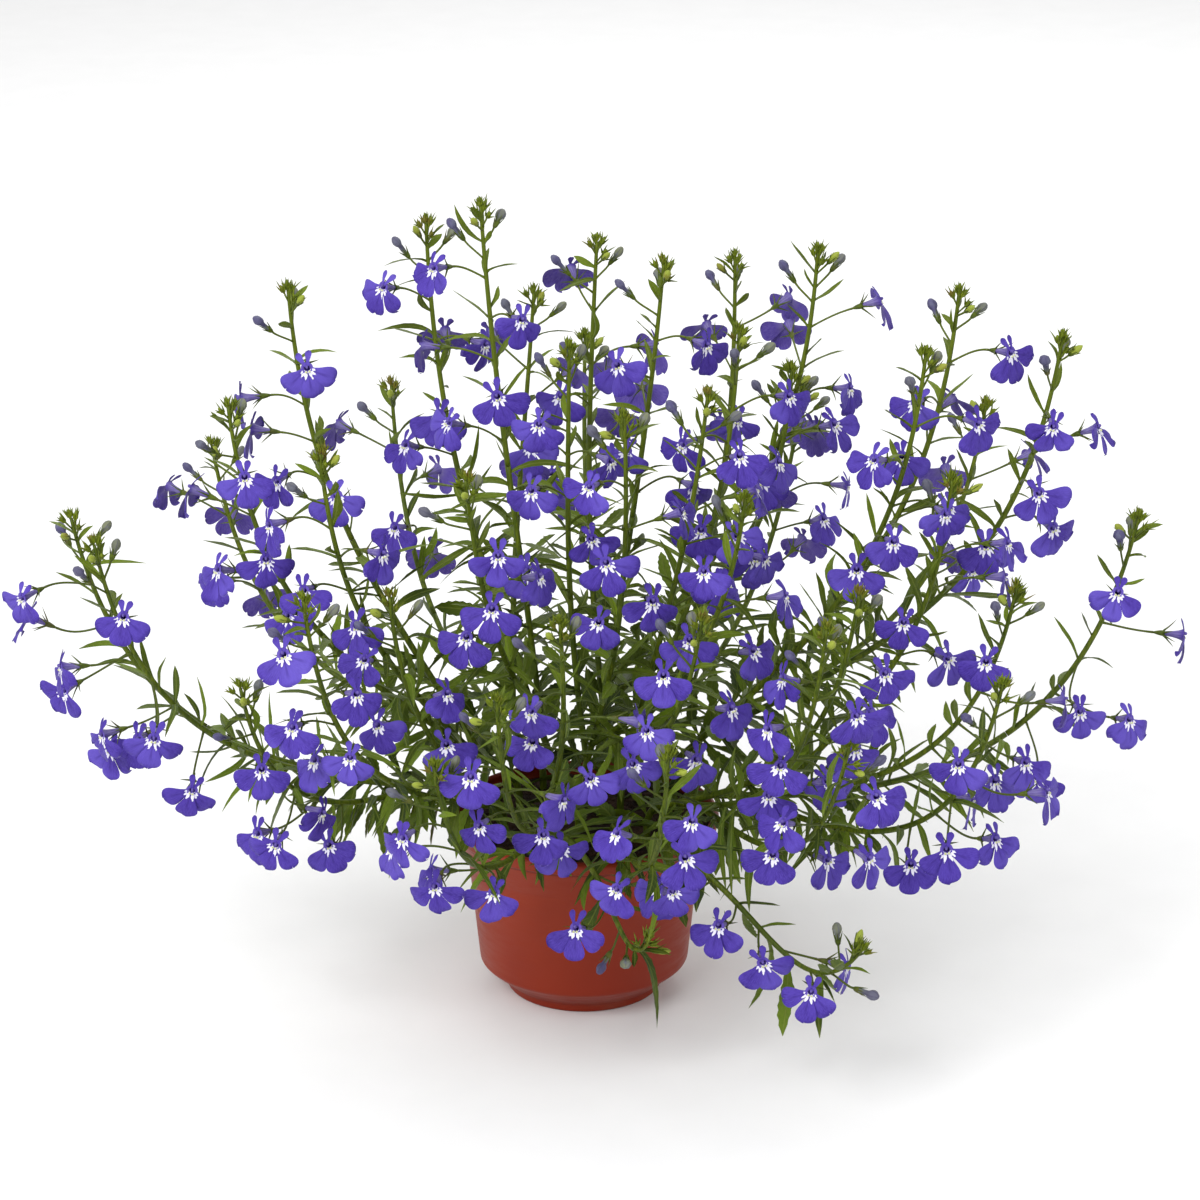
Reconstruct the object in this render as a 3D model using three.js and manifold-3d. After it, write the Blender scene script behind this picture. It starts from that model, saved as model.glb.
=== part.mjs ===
// A potted lobelia in bloom: a plastic pot, its soil, forked leafy stems, and a flowering spray on each shoot
// Millimetres, +Z up. The origin is the middle of the pot's flat base, and the front faces -Y.
import * as THREE from 'three';
import { mergeVertices } from 'three/addons/utils/BufferGeometryUtils.js';
import Module from 'manifold-3d';

const wasm = await Module();
wasm.setup();

// Pot: outer radius and height of each change of slope, from the foot to the lip
const POT_FOOT = [30.2, 3.2];
const POT_SHOULDER = [40.3, 11.6];
const POT_WAIST = [44.6, 53.5];
const POT_COLLAR = [51.4, 67.4];
const POT_LIP = [52.1, 70.4];
const POT_CREST = [50.3, 71.8];
const POT_WALL = 1.6;
const POT_FLOOR = 3;
const POT_SIDES = 24;
const DRAIN_RADIUS = 3.5;
const DRAIN_RING = 20;
const DRAIN_COUNT = 4;

// Soil
const SOIL_TOP = 66.5;
const SOIL_GAP = 0.35;
const HOLE_GAP = 0.35;
const HOLE_FLOOR = 55.7;

// Stems
const STEM_FOOT = 56;
const STEM_BEND = 71;
const STEM_CROWN = 80;
const STEM_REACH = 9;
const STEM_RADIUS = 1.5;
const SPLIT_RADIUS = 0.95;
const TIP_RADIUS = 0.5;
const FORK_STEP = 9;
const SPRAY_LENGTH = 100;
const SPRAY_SHARE = 0.6;
const LOW_SPRAY_SHARE = 0.74;
const SPLIT_GAP = 0.3;
const NODE_HALF = 0.8;

// Flowers: the throat is the origin, x to the right, y up and z the way that the flower faces
const FLOWER_STEP = 15;
const LOW_FLOWER_STEP = 13;
const BACK_FLOWER_STEP = 17;
const FIRST_FLOWER = 29;
const LAST_FLOWER = 7;
const FIRST_BUD = 9;
const FLOWER_SEED = 5075;
const LOBE_TURN = 57;
const LOBE_LENGTH = 11.2;
const LOBE_HALF = 3.1;
const LOBE_NOTCH = 5.6;
const HORN_TURN = 20;
const HORN_LENGTH = 6.7;
const HORN_NOTCH = 2.1;
const BUD_RADIUS = 1.75;
const CROWN_RADIUS = 2.1;
const CROWN_LENGTH = 2.5;
const TUBE_LENGTH = 12;
const MARGIN = 0.35;

// Every fourth flower turns aside by so many degrees more than the others
const GLANCE = 42;

// Leaves
const LEAF_STEP = 11;
const BLADE_HALF = 0.42;
const TOOTHED_WIDTH = 4.6;

// Of the leaves laid out, one in so many is in the solids.
// One shoot in so many has a bract there, and the others a bud.
const LEAF_SHARE = 4;
const BRACT_SHARE = 3;
const JOIN_TOLERANCE = 0.06;

// Each clump: where its stem stands in the soil, and where the tips of its shoots are, the main shoot first
const CLUMPS = [
  { root: [-35, 2], tips: [[-192, 0, 190], [-180, -30, 190], [-125, -60, 145]] },
  { root: [-25, 13], tips: [[-130, -20, 240], [-110, 20, 273], [-95, -45, 230]] },
  { root: [-30, -15], tips: [[-98, -104, 195], [-70, -60, 180]] },
  { root: [-10, 12], tips: [[-60, 60, 288], [-38, 20, 305], [-42, -60, 225]] },
  { root: [6, 22], tips: [[30, 30, 280], [5, 70, 278], [80, 60, 230], [90, 75, 273]] },
  { root: [-2, -6], tips: [[15, -50, 245], [-5, -20, 262], [58, -72, 222], [42, -98, 185]] },
  { root: [14, 4], tips: [[45, -40, 250], [58, 15, 258]] },
  { root: [28, 12], tips: [[140, 20, 272], [125, -20, 260], [178, 10, 257]] },
  { root: [36, -3], tips: [[208, 0, 190], [158, -50, 180], [150, -90, 158], [135, -30, 215]] },
  { root: [24, -17], tips: [[98, -90, 192], [85, -120, 190], [93, -130, 150]] },
  { root: [11, -28], tips: [[30, -136, 150], [100, -120, 68]] },
  { root: [-12, -27], tips: [[-30, -120, 163], [-52, -130, 143], [-8, -92, 182], [24, -92, 58]] },
  { root: [-16, 32], tips: [[-80, 170, 190], [-150, 120, 180], [-20, 115, 245]] },
  { root: [16, 33], tips: [[90, 170, 190], [0, 190, 205], [160, 110, 200], [60, 130, 255]] },
];

// Vector helpers
const add = (a, b) => [a[0] + b[0], a[1] + b[1], a[2] + b[2]];
const sub = (a, b) => [a[0] - b[0], a[1] - b[1], a[2] - b[2]];
const times = (a, s) => [a[0] * s, a[1] * s, a[2] * s];
const along = (a, d, s) => [a[0] + d[0] * s, a[1] + d[1] * s, a[2] + d[2] * s];
const dot = (a, b) => a[0] * b[0] + a[1] * b[1] + a[2] * b[2];
const cross = (a, b) => [a[1] * b[2] - a[2] * b[1], a[2] * b[0] - a[0] * b[2], a[0] * b[1] - a[1] * b[0]];
const size = (a) => Math.sqrt(dot(a, a));
const unit = (a) => times(a, 1 / size(a));
const radians = (degrees) => (degrees * Math.PI) / 180;
const limit = (value, low, high) => Math.min(Math.max(value, low), high);
const level = (azimuth) => [Math.cos(azimuth), Math.sin(azimuth), 0];
const raised = (flat, climb) => [flat[0] * Math.cos(climb), flat[1] * Math.cos(climb), Math.sin(climb)];
const UP = [0, 0, 1];

// A small seeded generator, so that every build draws the same plant
function makeRandom(seed) {
  let state = seed * 7919 + 17;
  const draw = () => {
    state = (state * 48271) % 2147483647;
    return state / 2147483647;
  };
  draw();
  draw();
  return (low, high) => low + (high - low) * draw();
}

// A path through points, measured by its length
function makePath(points) {
  const reach = [0];
  for (let i = 1; i < points.length; i++) reach.push(reach[i - 1] + size(sub(points[i], points[i - 1])));
  const total = reach[reach.length - 1];
  const point = (s) => {
    let i = 1;
    while (i < points.length - 1 && reach[i] < s) i++;
    const t = (s - reach[i - 1]) / (reach[i] - reach[i - 1]);
    return along(points[i - 1], sub(points[i], points[i - 1]), t);
  };
  const heading = (s) => unit(sub(point(Math.min(s + 3, total)), point(Math.max(s - 3, 0))));
  return { total, point, heading };
}

function cubic(a, b, c, d, t) {
  const u = 1 - t;
  const start = add(times(a, u * u * u), times(b, 3 * u * u * t));
  return add(start, add(times(c, 3 * u * t * t), times(d, t * t * t)));
}

// Two directions square to an axis
function squareTo(axis) {
  const side = unit(Math.abs(axis[2]) < 0.9 ? cross(UP, axis) : cross([1, 0, 0], axis));
  return [side, cross(axis, side)];
}

// Space that is taken: balls of centre, radius and owner. A ball that is marked may touch its own owner.
const taken = [];

function potIsClear(ball) {
  const [x, y, z, r] = ball;
  const flat = Math.sqrt(x * x + y * y);
  if (z - r < 1) return false;
  if (z - r > POT_CREST[1] + 0.5) return true;
  if (flat - r > POT_LIP[0] + 0.7) return true;
  if (z + r < POT_WAIST[1] && flat - r > POT_WAIST[0] + 1.2) return true;
  return z - r > SOIL_TOP + 2.2 && flat + r < POT_WAIST[0];
}

function isClear(balls, owner) {
  for (const ball of balls) {
    if (!potIsClear(ball)) return false;
    for (const other of taken) {
      if (ball[4] && other[4] === owner) continue;
      const dx = ball[0] - other[0];
      const dy = ball[1] - other[1];
      const dz = ball[2] - other[2];
      const apart = ball[3] + other[3] + MARGIN;
      if (dx * dx + dy * dy + dz * dz < apart * apart) return false;
    }
  }
  return true;
}

const take = (balls, owner) => balls.forEach((b) => taken.push([b[0], b[1], b[2], b[3], owner]));

// Shoots: low ones leave the crown level and then turn up, high ones climb nearly straight,
// and trailing ones hang
function shootSlopes(chord) {
  const flat = Math.sqrt(chord[0] * chord[0] + chord[1] * chord[1]);
  const climb = (Math.atan2(chord[2], flat) * 180) / Math.PI;
  if (climb < 12) return [18, 55, 0.5];
  const first = limit(1.75 * climb - 62, -6, 86);
  return [first, limit(2 * climb - first + 8, 30, 86), 0.52 - 0.0016 * climb];
}

function shootCurve(start, tip, bow) {
  const chord = sub(tip, start);
  const flat = unit([chord[0], chord[1], 0]);
  const across = [-flat[1], flat[0], 0];
  const [first, last, grip] = shootSlopes(chord);
  const handle = size(chord) * grip;
  const leave = along(along(start, raised(flat, radians(first)), handle), across, bow);
  const arrive = along(along(tip, raised(flat, radians(last)), -handle), across, bow * 0.6);
  const points = [];
  for (let i = 0; i <= 40; i++) points.push(cubic(start, leave, arrive, tip, i / 40));
  return points;
}

function mainCurve(root, tip, bow) {
  const crown = [root[0], root[1], STEM_CROWN];
  const chord = sub(tip, crown);
  const flat = unit([chord[0], chord[1], 0]);
  const fork = along(crown, raised(flat, radians(shootSlopes(chord)[0])), STEM_REACH);
  const foot = [root[0], root[1], STEM_FOOT];
  const bend = [root[0], root[1], STEM_BEND];
  const points = [foot];
  for (let i = 0; i < 8; i++) {
    const t = i / 8;
    const a = along(bend, sub(crown, bend), t);
    const b = along(crown, sub(fork, crown), t);
    points.push(along(a, sub(b, a), t));
  }
  return points.concat(shootCurve(fork, tip, bow));
}

function stemBalls(shoot) {
  const balls = [];
  for (let s = shoot.isMain ? 20 : 0; s < shoot.total; s += 2.5) {
    balls.push([...shoot.path.point(s), 1.25, s < shoot.split - 1 ? 1 : 0]);
  }
  balls.push([...along(shoot.tip, shoot.path.heading(shoot.total), 1), 3, 0]);
  return balls;
}

function layShoots() {
  const shoots = [];
  CLUMPS.forEach((clump, c) => {
    let main = null;
    clump.tips.forEach((tip, j) => {
      const random = makeRandom(100 + c * 10 + j);
      let shoot = null;
      for (let attempt = 0; attempt < 12; attempt++) {
        const bow = random(-8, 8) * (1 + attempt * 0.35);
        const start = j === 0 ? null : main.path.point(main.trunk + FORK_STEP * j);
        const points = j === 0 ? mainCurve(clump.root, tip, bow) : shootCurve(start, tip, bow);
        const path = makePath(points);
        const trunk = j === 0 ? path.total - makePath(points.slice(9)).total : 0;
        const free = path.total - trunk;
        const isLow = tip[1] < -55 && tip[2] < 200;
        const split = path.total - Math.min(SPRAY_LENGTH, (isLow ? LOW_SPRAY_SHARE : SPRAY_SHARE) * free);
        shoot = { clump: c, isMain: j === 0, isLow, tip, path, trunk, split, total: path.total };
        if (isClear(stemBalls(shoot), c)) break;
      }
      if (j === 0) main = shoot;
      const balls = stemBalls(shoot);
      shoot.owner = 100 + shoots.length;
      take(balls.filter((b) => b[4] === 1), c);
      take(balls.filter((b) => b[4] === 0), shoot.owner);
      shoots.push(shoot);
    });
  });
  return shoots;
}

// Which way the flowers of a shoot turn: out from the plant, and to the light at the front
function flowerSides(tip) {
  const out = unit([tip[0], tip[1], 0]);
  const front = unit([out[0] * 0.45, out[1] * 0.45 - 1, 0]);
  if (tip[1] > 60) return [out, unit([out[0], -0.6, 0])];
  const back = unit([out[0], Math.abs(out[1]) + 0.7, 0]);
  return [front, tip[1] > 15 ? back : front];
}

function flowerBalls(flower) {
  const k = flower.scale;
  const place = (x, y, z, r, mark) => {
    const p = along(along(along(flower.throat, flower.right, x * k), flower.up, y * k), flower.face, z);
    return [...p, r * k, mark];
  };
  const balls = [place(0, 0, -1.6, 2.6, 0)];
  for (const turn of [-LOBE_TURN, 0, LOBE_TURN]) {
    const a = radians(turn - 90);
    const lobe = (r, w, ball) => {
      balls.push(place(r * Math.cos(a) - w * Math.sin(a), r * Math.sin(a) + w * Math.cos(a), 0, ball, 0));
    };
    lobe(4.2, 0, 2.2);
    lobe(7.6, 2, 2.1);
    lobe(7.6, -2, 2.1);
    lobe(10, 1.4, 1.8);
    lobe(10, -1.4, 1.8);
  }
  for (const turn of [-20, 20]) {
    const a = radians(90 + turn);
    balls.push(place(3.5 * Math.cos(a), 3.5 * Math.sin(a), -0.8, 1.1, 0));
    balls.push(place(6 * Math.cos(a), 6 * Math.sin(a), -1.4, 1.3, 0));
  }
  for (const z of [-4, -6.5, -9, -11.5]) balls.push(place(0, 0, z, 1.7, 0));
  const stalk = sub(flower.calyx, flower.root);
  const length = size(stalk);
  for (let s = 1.5; s < length; s += 2) {
    balls.push([...along(flower.root, stalk, s / length), 0.9, s < 5 ? 1 : 0]);
  }
  return balls;
}

function layFlower(shoot, s, side, toward, droop, veer, random, attempt) {
  const root = shoot.path.point(s);
  const axis = shoot.path.heading(s);
  const base = Math.atan2(toward[1], toward[0]);
  const wide = 6 * attempt;
  const out = level(base + side * radians(random(30, 75 + wide)));
  const lean = radians(random(48, 66));
  const start = unit(along(add(times(axis, Math.cos(lean)), times(out, Math.sin(lean))), UP, -droop));
  const azimuth = base + side * radians(random(veer, veer + 34 + wide));
  const face = raised(level(azimuth), radians(random(-8, 26)));
  const chord = unit(add(times(start, 0.75), times(face, 0.42)));
  const calyx = along(root, chord, random(13, 19) + 5 * droop);
  const throat = along(calyx, face, TUBE_LENGTH);
  const roll = radians(random(-24, 24));
  const flat = unit(cross(UP, face));
  const top = cross(face, flat);
  const up = add(times(top, Math.cos(roll)), times(flat, Math.sin(roll)));
  const right = cross(up, face);
  return { s, root, start, calyx, throat, face, up, right, scale: random(0.94, 1.08) };
}

function layFlowers(shoots) {
  shoots.forEach((shoot, k) => {
    const random = makeRandom(FLOWER_SEED + k);
    const sides = flowerSides(shoot.tip);
    shoot.flowers = [];
    let side = random(0, 1) < 0.5 ? 1 : -1;
    let count = 0;
    const plainStep = shoot.tip[1] > 60 ? BACK_FLOWER_STEP : FLOWER_STEP;
    const step = shoot.isLow ? LOW_FLOWER_STEP : plainStep;
    const hangs = shoot.tip[2] < 200 && Math.abs(shoot.tip[0]) > 110 && shoot.tip[1] < 60;
    for (let s = shoot.total - FIRST_FLOWER; s > shoot.split + LAST_FLOWER; s -= step) {
      const toward = sides[count % 3 === 2 ? 1 : 0];
      for (let attempt = 0; attempt < 16; attempt++) {
        const turn = attempt % 3 === 2 ? -side : side;
        const droop = hangs && attempt < 10 ? limit(0.4 * (count + 1), 0, 1.2) : 0;
        const veer = count % 4 === 1 ? GLANCE : 0;
        const flower = layFlower(shoot, s + random(-2, 2), turn, toward, droop, veer, random, attempt);
        if (!isClear(flowerBalls(flower), shoot.owner)) continue;
        take(flowerBalls(flower), 0);
        shoot.flowers.push(flower);
        break;
      }
      side = -side;
      count += 1;
    }
  });
}

// Buds on short stalks round the tip of each shoot
function budBalls(bud) {
  const balls = [];
  for (let s = 1; s < bud.length - 2; s += 2) {
    balls.push([...along(bud.root, bud.heading, s), 0.8, s < 4 ? 1 : 0]);
  }
  balls.push([...along(bud.root, bud.heading, bud.length - 1.5), 1.9, 0]);
  balls.push([...along(bud.root, bud.heading, bud.length + 1.5), 1.7, 0]);
  return balls;
}

function layBuds(shoots) {
  shoots.forEach((shoot, k) => {
    const random = makeRandom(900 + k);
    shoot.buds = [];
    for (let i = 0; i < 3; i++) {
      for (let attempt = 0; attempt < 10; attempt++) {
        const s = shoot.total - FIRST_BUD - 5.5 * i;
        const axis = shoot.path.heading(s);
        const [a, b] = squareTo(axis);
        const turn = radians(137.5 * i + random(-60, 60) + 36 * attempt);
        const out = add(times(a, Math.cos(turn)), times(b, Math.sin(turn)));
        const lean = radians(random(38, 62));
        const heading = add(times(axis, Math.cos(lean)), times(out, Math.sin(lean)));
        const bud = { s, root: shoot.path.point(s), heading, length: random(8, 10) + 2.2 * i, rank: i };
        if (!isClear(budBalls(bud), shoot.owner)) continue;
        take(budBalls(bud), 0);
        shoot.buds.push(bud);
        break;
      }
    }
  });
}

// Leaves: a blade leaves its stem at a steep angle and arches down towards its tip
function leafPoint(leaf, t) {
  return along(along(leaf.root, leaf.heading, leaf.length * t), leaf.top, -leaf.sag * t * t * leaf.length);
}

function leafBalls(leaf) {
  const balls = [];
  for (let s = 2; s < leaf.length; s += 3) {
    const t = s / leaf.length;
    const half = leaf.width * (0.2 + 0.3 * Math.sin(Math.PI * Math.min(t * 1.05, 1)));
    balls.push([...leafPoint(leaf, t), Math.max(half, 1), s < 4.5 ? 1 : 0]);
  }
  return balls;
}

function layLeaf(shoot, s, turn, lean, length, width, sag, rank, list, owner) {
  const axis = shoot.path.heading(s);
  const [a, b] = squareTo(axis);
  const out = add(times(a, Math.cos(turn)), times(b, Math.sin(turn)));
  const heading = add(times(axis, Math.cos(lean)), times(out, Math.sin(lean)));
  const side = unit(cross(heading, Math.abs(heading[2]) < 0.95 ? UP : out));
  const top = cross(side, heading);
  const leaf = { s, root: shoot.path.point(s), heading, side, top, length, width, sag, rank };
  if (!isClear(leafBalls(leaf), owner)) return false;
  take(leafBalls(leaf), 0);
  list.push(leaf);
  return true;
}

// Leaves stand at even steps up the leafy part of a shoot
function leafPlaces(shoot) {
  const places = [];
  for (let s = shoot.isMain ? 22 : 7; s < shoot.split - 8; s += LEAF_STEP) places.push(s);
  return places;
}

function layLeaves(shoots) {
  shoots.forEach((shoot, k) => {
    const random = makeRandom(1300 + k);
    shoot.leaves = [];
    leafPlaces(shoot).forEach((s, rank) => {
      const share = s / shoot.split;
      for (let attempt = 0; attempt < 8; attempt++) {
        const turn = radians(137.5 * rank + random(-25, 25) + 45 * attempt);
        const lean = radians(random(48, 72));
        const length = random(20, 28) - 6 * share;
        const width = random(6, 8) - 3.4 * share;
        const sag = random(0.05, 0.25);
        if (layLeaf(shoot, s, turn, lean, length, width, sag, rank, shoot.leaves, shoot.clump)) break;
      }
    });
    shoot.bracts = [];
    shoot.flowers.forEach((flower, rank) => {
      const stalk = sub(flower.calyx, flower.root);
      const [a, b] = squareTo(shoot.path.heading(flower.s));
      const opposite = Math.atan2(dot(stalk, b), dot(stalk, a)) + Math.PI;
      for (let attempt = 0; attempt < 6; attempt++) {
        const turn = opposite + (attempt % 2 === 0 ? 1 : -1) * random(0.8, 1.25);
        const lean = radians(random(35, 60));
        const length = random(12, 19);
        const width = random(2, 2.6);
        if (layLeaf(shoot, flower.s, turn, lean, length, width, 0.12, rank, shoot.bracts, shoot.owner)) break;
      }
    });
  });
}

// Solids: a closed mesh from points and triangles, turned to face out
function solid(points, faces) {
  let volume = 0;
  for (const [a, b, c] of faces) volume += dot(points[a], cross(points[b], points[c]));
  const triangles = volume < 0 ? faces.map(([a, b, c]) => [a, c, b]) : faces;
  const vertProperties = new Float32Array(points.flat());
  const triVerts = new Uint32Array(triangles.flat());
  return new wasm.Manifold(new wasm.Mesh({ numProp: 3, vertProperties, triVerts }));
}

// A skin grows ring by ring. A ring runs counterclockwise, seen against the way that the skin grows.
function addRing(skin, points) {
  const first = skin.points.length;
  skin.points.push(...points);
  return points.map((_, i) => first + i);
}

// Four-sided walls between two rings are split so that they bulge out, never in
function bridge(skin, low, high) {
  low.forEach((corner, i) => {
    const j = (i + 1) % low.length;
    if (high.length === 1) {
      skin.faces.push([corner, low[j], high[0]]);
      return;
    }
    const [p, q, r, s] = [corner, low[j], high[j], high[i]].map((index) => skin.points[index]);
    const bulges = dot(cross(sub(q, p), sub(r, p)), sub(s, p)) <= 0;
    if (bulges) skin.faces.push([corner, low[j], high[j]], [corner, high[j], high[i]]);
    else skin.faces.push([corner, low[j], high[i]], [low[j], high[j], high[i]]);
  });
}

function cap(skin, loop) {
  for (let i = 1; i < loop.length - 1; i++) skin.faces.push([loop[0], loop[i], loop[i + 1]]);
}

function ring(centre, a, b, radius, sides) {
  const points = [];
  for (let i = 0; i < sides; i++) {
    const turn = (2 * Math.PI * i) / sides;
    points.push(along(along(centre, a, radius * Math.cos(turn)), b, radius * Math.sin(turn)));
  }
  return points;
}

const best = (choices, score) => choices.reduce((top, choice) => (score(choice) > score(top) ? choice : top));

// The facet's corners, turned so that each one faces its own corner of the next ring
function matched(skin, facet, points) {
  const middle = (list) => times(list.reduce(add), 1 / list.length);
  const corners = facet.map((i) => skin.points[i]);
  const from = middle(corners);
  const to = middle(points);
  const agreement = (turn) =>
    points.reduce((sum, p, i) => sum + dot(sub(p, to), sub(corners[(i + turn) % 3], from)), 0);
  const turn = best([0, 1, 2], agreement);
  return facet.map((_, i) => facet[(i + turn) % 3]);
}

// One of three corners of a ring: the one nearest to the side that the stem's corners have so far
function facingSide(side, corner, axis) {
  const across = cross(axis, corner);
  const corners = [0, 1, 2].map((i) => {
    const turn = (2 * Math.PI * i) / 3;
    return add(times(corner, Math.cos(turn)), times(across, Math.sin(turn)));
  });
  return best(corners, (candidate) => dot(candidate, side));
}

// A stem of three-sided rings. Each sprout takes the place of one facet at its node,
// the one that faces it best.
function growStem(path, stops, sprouts, radiusAt, tip = null) {
  const skin = { points: [], faces: [] };
  const nodes = [...new Set(sprouts.map(({ s }) => s))];
  const plain = stops.filter((stop) => nodes.every((s) => Math.abs(s - stop) > 2 * NODE_HALF));
  const paired = nodes.flatMap((s) => [s - NODE_HALF, s + NODE_HALF]);
  const places = [...plain, ...paired].sort((p, q) => p - q);
  let side = squareTo(path.heading(places[0]))[0];
  const rings = places.map((s) => {
    const axis = path.heading(s);
    const square = (direction) => unit(sub(direction, times(axis, dot(direction, axis))));
    const sprout = sprouts.find((other) => Math.abs(other.s - s) < 2 * NODE_HALF);
    side = sprout ? facingSide(square(side), times(square(sprout.heading), -1), axis) : square(side);
    return addRing(skin, ring(path.point(s), side, cross(axis, side), radiusAt(s), 3));
  });
  cap(skin, [...rings[0]].reverse());
  for (let k = 1; k < rings.length; k++) {
    const wall = { points: skin.points, faces: [] };
    bridge(wall, rings[k - 1], rings[k]);
    for (const sprout of sprouts.filter(({ s }) => s + NODE_HALF === places[k])) {
      const facing = ([a, b, c]) => {
        const normal = cross(sub(skin.points[b], skin.points[a]), sub(skin.points[c], skin.points[a]));
        return dot(unit(normal), sprout.heading);
      };
      const facet = best(wall.faces, facing);
      wall.faces.splice(wall.faces.indexOf(facet), 1);
      sprout.grow(skin, facet);
    }
    skin.faces.push(...wall.faces);
  }
  if (tip) bridge(skin, rings[rings.length - 1], addRing(skin, [tip]));
  else cap(skin, rings[rings.length - 1]);
  return solid(skin.points, skin.faces);
}

// A flower grows from its facet: the stalk, the tube, and five lobes round the throat
function growFlower(skin, facet, flower) {
  const k = flower.scale;
  const place = (x, y, z) =>
    along(along(along(flower.throat, flower.right, x * k), flower.up, y * k), flower.face, z * k);
  const polar = (degrees, r, lateral, z) => {
    const a = radians(degrees);
    return place(r * Math.cos(a) - lateral * Math.sin(a), r * Math.sin(a) + lateral * Math.cos(a), z);
  };
  const lobe = (turn, reach, half, z) => [polar(turn, reach, -half, z), polar(turn, reach, half, z)];
  const outline = [
    ...lobe(-90 - LOBE_TURN, LOBE_LENGTH, LOBE_HALF, 0.4),
    polar(-90 - LOBE_TURN / 2, LOBE_NOTCH, 0, -0.3),
    ...lobe(-90, LOBE_LENGTH, LOBE_HALF, 0.4),
    polar(-90 + LOBE_TURN / 2, LOBE_NOTCH, 0, -0.3),
    ...lobe(-90 + LOBE_TURN, LOBE_LENGTH, LOBE_HALF, 0.4),
    polar(38, HORN_NOTCH + 0.5, 0, -0.6),
    polar(90 - HORN_TURN, HORN_LENGTH, 0, -1.8),
    polar(90, HORN_NOTCH, 0, -0.6),
    polar(90 + HORN_TURN, HORN_LENGTH, 0, -1.8),
    polar(142, HORN_NOTCH + 0.5, 0, -0.6),
  ];
  // Each edge of the outline is backed by one corner of the mouth: 0 is below, 1 on the right, 2 on the left
  const backing = [2, 2, 0, 0, 0, 1, 1, 1, 1, 1, 2, 2, 2];
  const back = -TUBE_LENGTH / k;
  const neckPoints = [place(0, -0.55, back), place(0.5, 0.3, back), place(-0.5, 0.3, back)];
  const neck = addRing(skin, neckPoints);
  const mouth = addRing(skin, [place(0, -1.8, -3.3), place(1.3, 0.8, -3.3), place(-1.3, 0.8, -3.3)]);
  const rim = addRing(skin, outline);
  const [throat] = addRing(skin, [place(0, 0, -0.8)]);
  bridge(skin, matched(skin, facet, neckPoints), neck);
  bridge(skin, neck, mouth);
  rim.forEach((corner, i) => {
    const j = (i + 1) % rim.length;
    skin.faces.push([throat, corner, rim[j]]);
    skin.faces.push([rim[j], corner, mouth[backing[i]]]);
    if (backing[j] !== backing[i]) skin.faces.push([rim[j], mouth[backing[i]], mouth[backing[j]]]);
  });
}

// A bud: a thin stalk that swells into a club
function growBud(skin, facet, bud) {
  const reach = sub(skin.points[facet[0]], bud.root);
  const a = unit(sub(reach, times(bud.heading, dot(reach, bud.heading))));
  const b = cross(bud.heading, a);
  const at = (s) => along(bud.root, bud.heading, s);
  const neckPoints = ring(at(bud.length - 3.2), a, b, 0.5, 3);
  const neck = addRing(skin, neckPoints);
  const belly = addRing(skin, ring(at(bud.length + 0.4), a, b, BUD_RADIUS - 0.15 * bud.rank, 3));
  bridge(skin, matched(skin, facet, neckPoints), neck);
  bridge(skin, neck, belly);
  bridge(skin, belly, addRing(skin, [at(bud.length + 3)]));
}

// A leaf: a thin blade, thickest along its middle. Wide leaves have two teeth on each edge.
function growLeaf(skin, facet, leaf) {
  const isToothed = leaf.width > TOOTHED_WIDTH;
  const stations = isToothed ? [[0.4, 0.46], [0.56, 0.34], [0.74, 0.46]] : [[0.45, 0.5]];
  const edge = (t, across) => along(leafPoint(leaf, t), leaf.side, across);
  const rim = addRing(skin, [
    ...stations.map(([t, share]) => edge(t, share * leaf.width)),
    edge(1, 0),
    ...stations.map(([t, share]) => edge(t, -share * leaf.width)).reverse(),
  ]);
  const middle = (rise) => along(leafPoint(leaf, 0.5), leaf.top, rise);
  const [above, below] = addRing(skin, [middle(BLADE_HALF), middle(-BLADE_HALF)]);
  // The facet's corners: one on the leaf's right, the next below, the last on its left
  const spots = facet.map((i) => skin.points[i]);
  const spread = (turn) =>
    dot(sub(spots[turn], spots[(turn + 2) % 3]), leaf.side) - dot(spots[(turn + 1) % 3], leaf.top);
  const turn = best([0, 1, 2], spread);
  const [right, heel, left] = [0, 1, 2].map((i) => facet[(turn + i) % 3]);
  const loop = [left, right, ...rim];
  loop.forEach((corner, i) => {
    const next = loop[(i + 1) % loop.length];
    skin.faces.push([above, corner, next]);
    if (i > 0) skin.faces.push([below, next, corner]);
  });
  skin.faces.push([below, right, heel], [below, heel, left]);
}

// An item of the layout and the function that grows it, as growStem takes them
function makeSprouts(items, growItem) {
  return items.map((item) => ({
    s: item.s,
    heading: item.calyx ? unit(sub(item.calyx, item.root)) : item.heading,
    grow: (skin, facet) => growItem(skin, facet, item),
  }));
}

function spraySolid(shoot) {
  const { path, split, total, tip } = shoot;
  const crown = total - CROWN_LENGTH;
  const hasBract = shoot.owner % BRACT_SHARE === 0;
  const buds = shoot.buds.filter((bud) => bud.rank === 0 && !hasBract);
  const bracts = shoot.bracts.filter((bract) => bract.rank === 1 && hasBract);
  const sprouts = [
    ...makeSprouts(shoot.flowers, growFlower),
    ...makeSprouts(buds, growBud),
    ...makeSprouts(bracts, growLeaf),
  ];
  const taper = (s) => SPLIT_RADIUS + ((TIP_RADIUS - SPLIT_RADIUS) * (s - split)) / (total - split);
  const radiusAt = (s) => (s === crown ? CROWN_RADIUS : taper(s));
  const end = along(tip, path.heading(total), CROWN_RADIUS);
  return growStem(path, [split + SPLIT_GAP / 2, crown], sprouts, radiusAt, end);
}

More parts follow.
